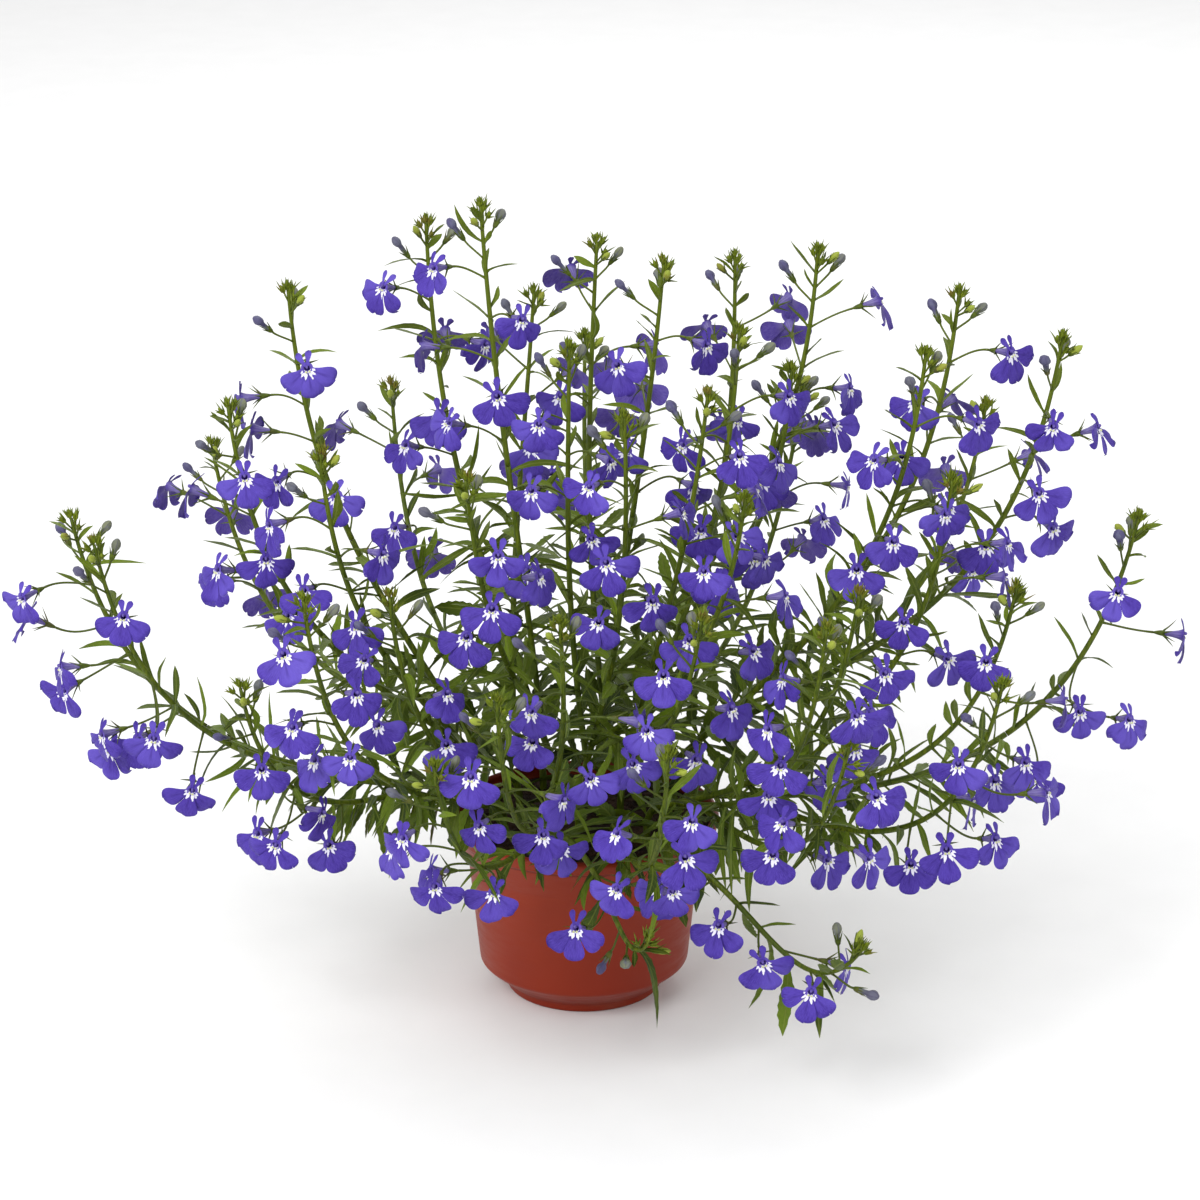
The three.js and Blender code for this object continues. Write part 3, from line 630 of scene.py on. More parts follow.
def tube(mould, points, radii, sides, slot, ribs=0.0, closed=True, kind=0.0):
    """A tube along points, whose marks are its length along, turn round and kind."""
    axes = [unit(after - before) for before, after in zip([points[0], *points], [*points[1:], points[-1]])]
    side = square_to(axes[0])[0]
    rings, marks = [], []
    s = 0.0
    angles = ring_angles(sides)
    swell = 1 + ribs * np.cos(3 * angles)
    for i, (p, axis) in enumerate(zip(points, axes)):
        if i:
            s += size(p - points[i - 1])
        side = unit(side - axis * dot(side, axis))
        other = cross(axis, side)
        r = radii[i] * swell
        rings.append(p + np.outer(r * np.cos(angles), side) + np.outer(r * np.sin(angles), other))
        marks.append(np.stack([np.full(sides, s), angles, np.full(sides, kind)], axis=1))
    faces = grid_faces(len(points), sides, wrap=True)
    if closed:
        last = (len(points) - 1) * sides
        faces.append(tuple(range(sides))[::-1])
        faces.append(tuple(range(last, last + sides)))
    mould.add(np.concatenate(rings), faces, slot, np.concatenate(marks))


class Spot:
    """A place with its own axes: x to the right, y up and z the way that the flower faces."""

    def __init__(self, origin, x, y, z, scale=1.0):
        self.origin = origin
        self.axes = np.array([x, y, z])
        self.scale = np.array([scale, scale, 1.0])

    def put(self, points):
        return self.origin + (np.asarray(points, float) * self.scale) @ self.axes


def add_turned(mould, spot, profile, sides, slot, shift=(0, 0, 0), flip=False, squash=1.0, kind=0.0):
    """A turned skin, whose marks are its height, turn round from 0 to 1 and kind."""
    points = turned_rings(profile, sides, squash) + np.array(shift, float)
    turns = np.tile(np.arange(sides) / sides, len(profile))
    marks = np.stack([points[:, 2], turns, np.full(len(points), kind)], axis=1)
    mould.add(spot.put(points), grid_faces(len(profile), sides, flip=flip, wrap=True), slot, marks)


def add_spike(mould, start, heading, length, width, slot, bend=0 * UP, kind=0.0):
    """A slim pointed tooth."""
    points, radii = [], []
    for t in (0, 0.35, 0.7, 1.0):
        points.append(start + heading * (length * t) + bend * (length * t * t))
        radii.append(width * (1 - t) ** 0.7 / 2 + 0.03)
    tube(mould, points, radii, 4, slot, closed=False, kind=kind)


# Flowers: the lower lobes are wide and round, the upper two short and narrow
LOW_ROWS = np.array([0, 0.13, 0.26, 0.39, 0.52, 0.64, 0.75, 0.84, 0.91, 0.96, 0.99, 1.0])
LOW_HALF = np.array([1.15, 1.5, 2.05, 2.8, 3.5, 3.95, *[4.1] * 5, 0.35])
LOW_HALF[6:-1] *= (1 - ((LOW_ROWS[6:-1] - 0.7) / 0.3) ** 2.3) ** 0.43
LOW_COLUMNS = np.array([-1, -0.75, -0.4, 0, 0.4, 0.75, 1.0])
LOW_LENGTH = 11.4
HIGH_ROWS = np.array([0, 0.2, 0.4, 0.58, 0.74, 0.87, 0.96, 1.0])
HIGH_HALF = np.array([0.42, 0.5, 0.72, 1.02, 1.24, 1.12, 0.66, 0.1])
HIGH_COLUMNS = np.array([-1, 0, 1.0])
HIGH_LENGTH = 6.7
LOBE_START = 1.1

# Turned forms, [radius, z] from the throat's plane. Two knobs stand in the mouth, under the anther.
TUBE_SHAPE = [[0.62, -9.2], [0.92, -7], [1.12, -5], [1.5, -3], [1.95, -1.7], [2.3, -1.05]]
THROAT_SHAPE = [[2.3, -1.05], [1.5, -0.9], [1.0, -1.3], [0.75, -2.8], [0.4, -4.4]]
KNOB_SHAPE = [[0.02, 0.05], [0.3, -0.08], [0.46, -0.4], [0.45, -0.9]]
ANTHER_SHAPE = [[0.02, 0.4], [0.34, 0.25], [0.52, -0.2], [0.55, -1.0], [0.4, -2.0]]
CALYX_SHAPE = [[0.3, -12.6], [0.5, -12], [0.85, -10.8], [1.12, -9.4], [1.18, -8.4], [0.95, -8.1]]
STALK_RADII = [0.62, 0.5] + [0.42] * 8 + [0.45, 0.5]
BUD_STALK_RADII = [0.55] + [0.42] * 7 + [0.46]

# Numbers of the materials of a piece
PETAL, PETAL_BACK, TUBE, THROAT, ANTHER, BUD_VIOLET = range(6)
STEM, LEAF, LEAF_BACK, CALYX, TIP_GREEN = range(5)

# A calyx has five teeth, so many degrees apart
TOOTH_TURN = 72


def add_lobe(mould, spot, turn, reach, rows, halves, columns, shape, notch=0.0):
    """One petal lobe as two skins that meet at its rim, and marks of x, y and the share along.
    shape gives z from the shares along and across."""
    s, t = np.meshgrid(rows, columns, indexing="ij")
    lateral = np.repeat(halves[:, None], len(columns), axis=1) * t
    run = LOBE_START + (reach - LOBE_START) * s - notch * np.exp(-((t / 0.45) ** 2)) * s ** 8
    a = radians(turn)
    x = run * math.cos(a) - lateral * math.sin(a)
    y = run * math.sin(a) + lateral * math.cos(a)
    z = shape(s, t)
    depth = 0.3 * (1 - t ** 4) * (1 - s ** 8)
    marks = np.stack([x, y, s], axis=2).reshape(-1, 3)
    for slot, height in ((PETAL, z), (PETAL_BACK, z - depth)):
        points = np.stack([x, y, height], axis=2).reshape(-1, 3)
        mould.add(spot.put(points), grid_faces(len(rows), len(columns), flip=slot == PETAL), slot, marks)


def add_flower(blooms, greens, flower, seed):
    random = make_random(seed)
    spot = Spot(flower.throat, flower.right, flower.up, flower.face, flower.scale)
    reflex = random(-0.3, 2.1)
    for turn, lift, part in ((-LOBE_TURN, -0.22, 1), (LOBE_TURN, -0.14, 1), (0, 0.1, 0)):
        phase = random(0, 6.28)
        ripple = random(0.15, 0.5)
        curl = random(0.3, 1.3)
        tilt = random(-2.4, 1.7) * part + random(-1.1, 1.1) * (1 - part)
        slant = random(-1.3, 1.3)
        wide = random(0.95, 1.07)
        reach = LOW_LENGTH * random(0.95, 1.03)
        own = reflex * random(0.5, 1.5)
        notch = random(-0.5, 0.9)

        def low_shape(s, t):
            z = -0.9 + lift + 2.5 * s * (1 - 0.55 * s) - own * s ** 3 + tilt * s ** 1.5 + slant * t * s
            z = z - curl * t ** 2 * s + ripple * s ** 2 * np.sin(2.4 * math.pi * t + phase)
            return z - 0.6 * np.exp(-((t / 0.25) ** 2)) * (1 - s) * s * 3

        add_lobe(blooms, spot, turn - 90 + random(-4, 4), reach, LOW_ROWS, LOW_HALF * wide, LOW_COLUMNS,
                 low_shape, max(notch, 0))
    lean = random(0.9, 2.8)
    for turn in (-HORN_TURN, HORN_TURN):
        twist = random(-0.35, 0.35)
        fall = lean * random(0.8, 1.25)

        def high_shape(s, t):
            return -0.8 - fall * s ** 1.4 + twist * t * s + 0.15 * t ** 2

        add_lobe(blooms, spot, 90 + turn + random(-6, 6), HIGH_LENGTH * random(0.93, 1.04), HIGH_ROWS,
                 HIGH_HALF, HIGH_COLUMNS, high_shape)
    add_turned(blooms, spot, TUBE_SHAPE, 12, TUBE, squash=1.12)
    add_turned(blooms, spot, THROAT_SHAPE, 12, THROAT, squash=1.05)
    for x in (-0.6, 0.6):
        add_turned(blooms, spot, KNOB_SHAPE, 8, THROAT, shift=(x, -1.1, 0), flip=True, kind=1.0)
    add_turned(blooms, spot, ANTHER_SHAPE, 8, ANTHER, shift=(0, 0.7, 0), flip=True, squash=1.3)
    # Calyx, its five teeth, and the stalk
    plain = Spot(flower.throat, flower.right, flower.up, flower.face)
    add_turned(greens, plain, CALYX_SHAPE, 10, CALYX)
    for i in range(5):
        out = swing(flower.right, flower.up, radians(TOOTH_TURN * i + 90 + random(-12, 12)))
        start = flower.throat - flower.face * 8.6 + out
        heading = unit(out * random(0.55, 0.95) + flower.face * 0.75)
        add_spike(greens, start, heading, random(4.6, 6.4), 0.75, CALYX, out * random(-0.05, 0.25))
    calyx = flower.throat - flower.face * 12.4
    length = size(calyx - flower.root)
    first = flower.root + flower.start * (0.42 * length)
    last = calyx - flower.face * (0.36 * length)
    tube(greens, bezier(flower.root, first, last, calyx, 11), STALK_RADII, 6, STEM, kind=1.0)


def add_bud(blooms, greens, bud, seed):
    """A closed bud on its stalk: the older, the longer and the bluer."""
    random = make_random(seed)
    rise = 0.1 + 0.2 * bud.rank
    first = bud.root + bud.heading * (bud.length * 0.4)
    neck = bud.root + bud.heading * (bud.length - 3)
    last = neck - unit(bud.heading + UP * rise) * 2
    tube(greens, bezier(bud.root, first, last, neck, 8), BUD_STALK_RADII, 6, STEM, kind=1.0)
    face = unit(bud.heading + UP * (rise * 0.5))
    right, up = square_to(face)
    spot = Spot(neck, right, up, face)
    k = random(1.0, 1.25)
    add_turned(greens, spot, [[0.38, 0], [0.75 * k, 0.7], [k, 1.8], [1.02 * k, 2.7]], 8, CALYX)
    for i in range(5):
        out = swing(right, up, radians(TOOTH_TURN * i + random(-10, 10)))
        heading = unit(face + out * random(0.15, 0.5))
        add_spike(greens, neck + face * 2.4 + out * 0.9, heading, random(2.6, 4.0), 0.6, CALYX)
    if bud.rank == 0:
        profile = [[0.9 * k, 2.0], [1.15 * k, 3.2], [1.25 * k, 4.6], [k, 6.0], [0.45 * k, 7.1], [0.03, 7.6]]
        add_turned(greens, spot, profile, 8, TIP_GREEN, kind=2.0)
    else:
        long = 2.0 * (bud.rank - 1)
        profile = [[0.8 * k, 2.3], [0.88 * k, 3.2], [1.05 * k, 4.2 + long], [1.7 * k, 5.2 + long],
                   [2.0 * k, 6.3 + long], [1.75 * k, 7.5 + long], [0.95 * k, 8.6 + long], [0.04, 9.0 + long]]
        add_turned(blooms, spot, profile, 7, BUD_VIOLET, squash=0.8, kind=bud.rank + random(0, 0.9))


def add_tip(greens, shoot, seed):
    """The growing tip: a loose tuft of small green buds, each with five long teeth."""
    random = make_random(seed)
    axis = shoot.path.heading(shoot.total)
    a, b = square_to(axis)
    base = shoot.path.point(shoot.total - 8)
    spread = random(0.5, 0.95)
    for i in range(6):
        young = i / 5
        out = swing(a, b, radians(GOLDEN_TURN * i + 30))
        heading = unit(out * (spread * (1 - 0.8 * young)) + axis * (0.8 + 0.3 * young))
        start = base + axis * (1.4 * i)
        length = random(3.4, 7.0) * (1 - 0.8 * young)
        k = random(0.75, 1.05) * (1 - 0.3 * young)
        right, up = square_to(heading)
        centre = start + heading * length
        middle = start + heading * (length * 0.5)
        tube(greens, [start, middle, centre], [0.4, 0.34, 0.4], 5, STEM, kind=1.0)
        profile = [[0.3 * k, -0.2], [0.65 * k, 0.6], [0.9 * k, 1.7], [0.92 * k, 2.9], [0.6 * k, 3.8],
                   [0.05, 4.3]]
        tint = random(0, 1)
        add_turned(greens, Spot(centre, right, up, heading), profile, 8, TIP_GREEN, kind=tint)
        for j in range(5):
            away = swing(right, up, radians(TOOTH_TURN * j + 40 * i))
            tooth = unit(heading + away * random(0.12, 0.6))
            bend = away * random(-0.2, 0.3)
            long = random(3.6, 6.0) * (1 - 0.35 * young)
            root = centre + heading * 1.2 + away * (0.65 * k)
            add_spike(greens, root, tooth, long, 0.85, TIP_GREEN, bend, tint)


# Leaves
def leaf_halves(t, width):
    """Half widths of a leaf at the shares t of its length."""
    if width > TOOTHED_WIDTH:
        half = np.interp(t, [0, 0.12, 0.28, 0.45, 0.62, 0.78, 0.9, 1.0],
                         [0.09, 0.11, 0.22, 0.4, 0.5, 0.44, 0.27, 0.02])
        tooth = np.where((t > 0.34) & (t < 0.94), 0.035 * (-1.0) ** np.arange(len(t)), 0)
        return width * (half + tooth)
    half = width * np.interp(t, [0, 0.1, 0.35, 0.6, 0.85, 1.0], [0.16, 0.2, 0.42, 0.5, 0.3, 0.02])
    return half * 1.3 if width < SMALL_WIDTH else half


def add_leaf(greens, leaf, seed, loose=0.0):
    """A leaf blade as two skins, and marks of the share along, the way across and the leaf's width.
    loose is how far it may roll about its own length."""
    random = make_random(seed)
    is_broad = leaf.width > NARROW_WIDTH
    t = np.linspace(0, 1, 19 if leaf.width > TOOTHED_WIDTH else 9 if is_broad else 7)
    v = np.array([-1, -0.55, 0, 0.55, 1.0] if is_broad else [-1, 0, 1.0])
    twist = random(-0.35, 0.35) * (1 + loose)
    fold = random(0.12, 0.4)
    wave = random(0, 6.28)
    sway = random(-0.13, 0.13) * (1 + loose / 2)
    roll = random(-1, 1) * loose
    top, side = leaf.top, leaf.side
    fronts, backs, marks = [], [], []
    for share, h in zip(t, leaf_halves(t, leaf.width)):
        middle = leaf_point(leaf, share) + side * (sway * leaf.length * math.sin(math.pi * share))
        turn = roll + twist * share
        across = side * math.cos(turn) + top * math.sin(turn)
        rise = top * math.cos(turn) - side * math.sin(turn)
        lift = fold * np.abs(v) * h + 0.25 * np.abs(v) * math.sin(9 * share + wave) * h * 0.6
        front = middle + np.outer(v * h, across) + np.outer(lift + 0.16, rise)
        depth = 0.32 * (1 - v ** 4) * (1 - share ** 8) + (0.55 * (1 - share) ** 6) * (1 - np.abs(v))
        fronts.append(front)
        backs.append(front - np.outer(depth, rise))
        marks.append(np.stack([np.full(len(v), share), v * h, np.full(len(v), leaf.width)], axis=1))
    for slot, skin in ((LEAF, fronts), (LEAF_BACK, backs)):
        faces = grid_faces(len(t), len(v), flip=slot == LEAF)
        greens.add(np.concatenate(skin), faces, slot, np.concatenate(marks))


def add_stem(greens, path, start, end, first, last, taper=1.0):
    steps = max(int((end - start) / 2.6), 3)
    points = [path.point(start + (end - start) * i / steps) for i in range(steps + 1)]
    radii = [last + (first - last) * (1 - i / steps) ** taper for i in range(steps + 1)]
    tube(greens, points, radii, 9, STEM, ribs=0.05)


# Materials
def srgb(colour):
    """Linear colour of an sRGB one, given as 0 to 255."""
    return tuple(((c / 255 + 0.055) / 1.055) ** 2.4 if c > 10 else c / 255 / 12.92 for c in colour)


class Nodes:
    """A material, the colour painted so far, and short calls for nodes. A value is a socket or a number,
    and a colour is a socket or an sRGB triple."""

    def __init__(self, name, colour=(0, 0, 0)):
        self.material = bpy.data.materials.new(name)
        self.material.use_nodes = True
        self.tree = self.material.node_tree
        self.shader = self.tree.nodes["Principled BSDF"]
        self.place = self.node("ShaderNodeTexCoord", out="Object")
        self.colour = srgb(colour)

    def feed(self, socket, value):
        if isinstance(value, bpy.types.NodeSocket):
            self.tree.links.new(value, socket)
        else:
            socket.default_value = value

    def node(self, kind, inputs=None, out=0, **settings):
        """An output of a new node, whose inputs are given by number or name."""
        made = self.tree.nodes.new(kind)
        for key, value in settings.items():
            setattr(made, key, value)
        for key, value in (inputs or {}).items():
            self.feed(made.inputs[key], value)
        return made.outputs[out]

    def math(self, operation, *values):
        return self.node("ShaderNodeMath", dict(enumerate(values)), operation=operation)

    def times(self, a, b):
        return self.math("MULTIPLY", a, b)

    def plus(self, a, b):
        return self.math("ADD", a, b)

    def minus(self, a, b):
        return self.math("SUBTRACT", a, b)

    def smooth(self, value, first, last, end=1.0, start=0.0):
        """Goes from start to end as value goes from first to last."""
        values = dict(enumerate((value, first, last, start, end)))
        return self.node("ShaderNodeMapRange", values, interpolation_type="SMOOTHSTEP")

    def mix(self, share, a, b):
        a, b = ((*colour, 1.0) if isinstance(colour, tuple) else colour for colour in (a, b))
        return self.node("ShaderNodeMix", {0: share, 6: a, 7: b}, 2, data_type="RGBA")

    def lay(self, colour, share):
        """Lays a share of a colour over what is painted."""
        self.colour = self.mix(share, self.colour, srgb(colour) if isinstance(colour, tuple) else colour)

    def paint(self, colour, value, first, last, share=1.0):
        """Lays a colour on, from none to its full share as value goes from first to last."""
        self.lay(colour, self.smooth(value, first, last, share))

    def split(self, vector):
        return self.node("ShaderNodeSeparateXYZ", {0: vector}, slice(3))

    def mark(self):
        return self.split(self.node("ShaderNodeAttribute", out="Vector", attribute_name="mark"))

    def height(self):
        return self.split(self.place)[2]

    def noise(self, scale, detail=2.0, rough=0.5, vector=None):
        place = self.place if vector is None else vector
        values = {"Vector": place, "Scale": scale, "Detail": detail, "Roughness": rough}
        return self.node("ShaderNodeTexNoise", values)

    def drawn_out(self, z):
        """The place, with its height scaled by z."""
        return self.node("ShaderNodeMapping", {0: self.place, "Scale": (1, 1, z)})

    def finish(self, roughness, relief=None, strength=0.0, distance=0.0, specular=0.2):
        """Sets the colour painted, the roughness and the relief, and gives the material."""
        inputs = {"Base Color": self.colour, "Roughness": roughness, "Specular IOR Level": specular}
        if relief is not None:
            values = {"Height": relief, "Strength": strength, "Distance": distance}
            inputs["Normal"] = self.node("ShaderNodeBump", values)
        for key, value in inputs.items():
            self.feed(self.shader.inputs[key], value)
        return self.material


# The white eye reaches so far from the throat, and its teeth further: turn and width in radians, and length
EYE_REACH = 2.4
EYE_TEETH = ((0.34, 0.15, 1.8), (0.76, 0.14, 1.3), (1.16, 0.1, 0.6))

# Factors of the turn round that give ten ribs, or five folds
TEN_RIBS = 62.8
FIVE_FOLDS = 31.4


def petal_material(name, is_back):
    n = Nodes(name, (98, 84, 158) if is_back else (76, 56, 158))
    x, y, share = n.mark()
    reach = n.math("SQRT", n.plus(n.times(x, x), n.times(y, y)))
    patch = n.noise(160)
    # Fine veins run out from the throat
    angle = n.math("ARCTAN2", x, n.times(y, -1.0))
    spread = n.node("ShaderNodeCombineXYZ", {0: n.times(angle, 9.0), 1: n.times(reach, 0.18)})
    veins = n.noise(3.2, 3.0, 0.6, spread)
    if is_back:
        n.paint((78, 60, 146), veins, 0.35, 0.65)
        n.paint((116, 106, 158), share, 0.45, 0.0)
        n.paint((68, 50, 134), patch, 0.35, 0.7, 0.35)
        return n.finish(0.62, veins, 0.25, 0.0003)
    n.paint((57, 37, 129), veins, 0.3, 0.7)
    n.paint((78, 58, 162), patch, 0.35, 0.7, 0.5)
    n.paint((102, 86, 188), n.noise(42, 1.0), 0.45, 0.68, 0.5)
    n.paint((46, 28, 116), share, 0.8, 1.0, 0.45)
    # Painted shade: a darker violet runs along the crease down the middle of each lobe
    turn = n.math("ABSOLUTE", angle)
    crease = n.math("MINIMUM", turn, n.math("ABSOLUTE", n.minus(turn, radians(LOBE_TURN))))
    n.lay((48, 28, 114), n.times(n.smooth(crease, 0.11, 0.02, 0.45), n.smooth(share, 0.85, 0.5)))
    # The eye: two white patches that end in teeth, with a thin violet line between them
    edge = EYE_REACH
    for at, width, length in EYE_TEETH:
        off = n.math("DIVIDE", n.minus(turn, at), width)
        edge = n.plus(edge, n.times(n.math("EXPONENT", n.times(n.times(off, off), -1.0)), length))
    ragged = n.plus(reach, n.times(n.minus(n.noise(850, 3.0, 0.6), 0.5), 2.8))
    low = n.smooth(turn, 1.5, 1.3)
    line = n.smooth(n.math("ABSOLUTE", x), 0.14, 0.42)
    line = n.math("MAXIMUM", line, n.smooth(reach, 1.8, 1.3))
    white = n.times(n.smooth(n.minus(edge, ragged), -0.2, 0.25), n.times(low, line))
    halo = n.smooth(n.minus(n.plus(edge, 1.3), reach), 0.0, 1.6, 0.55)
    n.lay((46, 24, 112), n.times(halo, low))
    n.lay((226, 224, 240), white)
    return n.finish(n.smooth(veins, 0.3, 0.7, 0.62, 0.5), n.plus(veins, n.noise(2600)), 0.35, 0.0004)


def tube_material():
    n = Nodes("lilac tube", (112, 100, 160))
    height, turn, _ = n.mark()
    stripes = n.math("SINE", n.times(turn, TEN_RIBS))
    n.paint((66, 48, 128), stripes, 0.2, 0.95, 0.6)
    n.paint((76, 58, 146), height, -3.5, -1.0)
    n.paint((136, 132, 168), n.noise(300), 0.4, 0.7, 0.4)
    return n.finish(0.6, stripes, 0.2, 0.0002)


def throat_material():
    n = Nodes("flower throat", (84, 64, 150))
    height, _, is_knob = n.mark()
    n.paint((88, 70, 160), height, -2.2, -1.0)
    n.lay(n.mix(n.smooth(height, -0.6, 0.0), srgb((222, 222, 232)), srgb((196, 200, 128))), is_knob)
    return n.finish(0.55, n.noise(1500), 0.3, 0.0003)


def anther_material():
    n = Nodes("anther", (92, 78, 150))
    n.paint((140, 134, 168), n.mark()[0], 0.3, 0.62)
    return n.finish(0.6, n.noise(2500), 0.3, 0.0003)


def bud_material():
    n = Nodes("closed bud", (108, 118, 74))
    height, turn, age = n.mark()
    folds = n.math("SINE", n.times(turn, FIVE_FOLDS))
    n.paint(n.mix(n.smooth(age, 1.2, 2.8), srgb((112, 116, 92)), srgb((80, 76, 114))), height, 2.4, 6.0)
    n.paint((62, 58, 84), folds, 0.3, 1.0, 0.5)
    n.paint((106, 110, 126), n.noise(420), 0.45, 0.7, 0.5)
    return n.finish(0.62, folds, 0.25, 0.0003)


def stem_material():
    n = Nodes("stem green", (60, 76, 8))
    streak = n.noise(900, vector=n.drawn_out(0.25))
    n.paint((92, 104, 16), streak, 0.3, 0.7)
    n.paint((56, 72, 12), n.noise(45), 0.35, 0.7, 0.55)
    n.lay((66, 76, 26), n.times(n.mark()[2], 0.6))
    # Painted light: the stems are lighter higher up, where more light falls
    n.paint((92, 106, 12), n.height(), 0.16, 0.26, 0.5)
    return n.finish(0.5, streak, 0.25, 0.0003)


def leaf_material(name, light, dark):
    n = Nodes(name, dark)
    share, across, width = n.mark()
    fine = n.noise(700, 3.0, 0.6)
    off = n.math("ABSOLUTE", across)
    rib = n.smooth(off, 0.42, 0.1)
    side_veins = n.smooth(n.math("SINE", n.minus(n.times(share, 46.0), n.times(off, 3.2))), 0.82, 1.0)
    # A number from 0 to 1 that each leaf has from its width
    each = n.math("FRACT", n.times(width, 91.7))
    n.paint(light, n.noise(60, 3.0), 0.3, 0.7)
    n.paint((106, 130, 20), each, 0.45, 1.0, 0.7)
    n.paint((32, 48, 8), each, 0.35, 0.0, 0.5)
    # Painted light: the leaves are lighter higher up, where more light falls
    n.paint((98, 114, 14), n.height(), 0.1, 0.22, 0.45)
    n.paint((50, 68, 8), fine, 0.45, 0.75, 0.3)
    n.lay((98, 110, 34), n.times(side_veins, 0.3))
    n.lay((104, 116, 42), n.times(rib, 0.55))
    relief = n.minus(n.times(fine, 0.5), n.plus(rib, n.times(side_veins, 0.5)))
    return n.finish(n.smooth(fine, 0.3, 0.7, 0.56, 0.42), relief, 0.45, 0.0004)


def calyx_material(name, light, dark, tint):
    n = Nodes(name, dark)
    _, turn, kind = n.mark()
    ribs = n.math("SINE", n.times(turn, TEN_RIBS))
    n.paint(light, n.noise(500), 0.3, 0.7)
    n.paint(dark, ribs, 0.4, 1.0, 0.35)
    n.paint((140, 152, 56), kind, 1.2, 1.8)
    n.paint(tint, n.noise(120), 0.52, 0.72, 0.6)
    return n.finish(0.5, ribs, 0.15, 0.0002)


def pot_material():
    n = Nodes("moulded terracotta plastic", (137, 41, 8))
    cloud = n.noise(14, 3.0)
    grain = n.noise(1800, 3.0, 0.6)
    scuff = n.noise(60, 4.0, 0.65, n.drawn_out(7))
    height = n.height()
    n.paint((124, 32, 4), cloud, 0.3, 0.7)
    n.paint((142, 56, 32), scuff, 0.58, 0.75, 0.25)
    # Painted shade: the lip's top is darker, shaded by the plant above, and so is the groove under the
    # collar. The foot is dusty
    n.paint((92, 22, 14), height, 0.0705, 0.0715, 0.45)
    n.paint((84, 20, 8), n.math("ABSOLUTE", n.minus(height, 0.0661)), 0.0009, 0.0003, 0.55)
    n.lay((116, 66, 48), n.times(n.smooth(height, 0.012, 0.0, 0.3), n.smooth(n.noise(90, 3.0), 0.45, 0.65)))
    relief = n.plus(n.times(grain, 0.5), cloud)
    return n.finish(n.smooth(scuff, 0.3, 0.75, 0.55, 0.38), relief, 0.12, 0.0004, specular=0.25)


def soil_material():
    n = Nodes("dark compost", (34, 22, 16))
    crumb = n.node("ShaderNodeTexVoronoi", {"Vector": n.place, "Scale": 420})
    fine = n.noise(900, 4.0, 0.7)
    n.paint((62, 42, 30), n.noise(160, 3.0), 0.35, 0.7)
    n.paint((96, 72, 50), fine, 0.6, 0.75, 0.6)
    return n.finish(0.92, n.plus(crumb, fine), 0.9, 0.0012)


def floor_material():
    n = Nodes("pale floor")
    n.colour = n.mix(n.noise(35, 3.0), (0.80, 0.80, 0.80), (0.84, 0.84, 0.84))
    return n.finish(0.9)


# Pot and soil
def rounded(profile, radius):
    """A profile with each inner corner cut round by up to radius."""
    out = [profile[0]]
    for before, corner, after in zip(profile, profile[1:], profile[2:]):
        corner = np.array(corner)
        ways = [end - corner for end in (before, after)]
        lengths = [np.linalg.norm(way) for way in ways]
        reach = min(radius, 0.42 * min(lengths))
        a, b = (corner + way / length * reach for way, length in zip(ways, lengths))
        for t in (0, 0.25, 0.5, 0.75, 1.0):
            out.append(list((1 - t) ** 2 * a + 2 * t * (1 - t) * corner + t * t * b))
    out.append(profile[-1])
    return out


def drain_cutter():
    cutters = Mould()
    for i in range(DRAIN_COUNT):
        turn = 2 * math.pi * (i + 0.5) / DRAIN_COUNT
        at = np.array([DRAIN_RING * math.cos(turn), DRAIN_RING * math.sin(turn), 0])
        points = turned_rings([[DRAIN_RADIUS, -1], [DRAIN_RADIUS, POT_FLOOR + 1]], DRAIN_SIDES) + at
        ends = [tuple(range(DRAIN_SIDES))[::-1], tuple(range(DRAIN_SIDES, 2 * DRAIN_SIDES))]
        cutters.add(points, grid_faces(2, DRAIN_SIDES, wrap=True) + ends, 0)
    return link_object("drain_cutter", cutters.mesh("drain_cutter"))


def make_pot(material):
    ledge = [[POT_COLLAR[0] - 1.3, POT_COLLAR[1] - 2.4], [POT_COLLAR[0] - 0.9, POT_COLLAR[1] - 1.1],
             [POT_COLLAR[0] + 0.1, POT_COLLAR[1] - 0.6]]
    outside = [[POT_FOOT[0] - 0.4, 0], POT_FOOT, POT_SHOULDER, POT_WAIST, *ledge, POT_LIP, POT_CREST]
    inside = [
        [POT_CREST[0] - 1.2, POT_CREST[1] - 0.8],
        [POT_COLLAR[0] - POT_WALL - 0.7, POT_COLLAR[1] + 0.4],
        [POT_WAIST[0] - POT_WALL, POT_WAIST[1] + 0.7],
        [POT_SHOULDER[0] - POT_WALL, POT_SHOULDER[1] + 0.7],
        [POT_FOOT[0] - POT_WALL - 1.1, POT_FLOOR],
    ]
    profile = rounded([[0, 0], *outside, *inside, [0, POT_FLOOR]], CORNER_RADIUS)
    rings = profile[1:-1]
    mould = Mould()
    points = np.concatenate([turned_rings(rings, POT_SIDES), [(0, 0, 0), (0, 0, POT_FLOOR)]])
    mould.add(points, spindle_faces(len(rings), POT_SIDES), 0)
    pot = mould.make("nursery_pot", [material], "pot", "pot")
    cutter = drain_cutter()
    holes = pot.modifiers.new("holes", "BOOLEAN")
    holes.object = cutter
    holes.operation = "DIFFERENCE"
    holes.solver = "EXACT"
    bpy.context.view_layer.update()
    graph = bpy.context.evaluated_depsgraph_get()
    cut = bpy.data.meshes.new_from_object(pot.evaluated_get(graph))
    pot.modifiers.clear()
    pot.data = cut
    bpy.data.objects.remove(cutter)
    pot.data.set_sharp_from_angle(angle=radians(SHARP_ANGLE))


# A crumb: a point above, a ring of five and a point below
CRUMB_FACES = [(0, 1, 2), (0, 2, 3), (0, 3, 4), (0, 4, 5), (0, 5, 1),
               (6, 2, 1), (6, 3, 2), (6, 4, 3), (6, 5, 4), (6, 1, 5)]


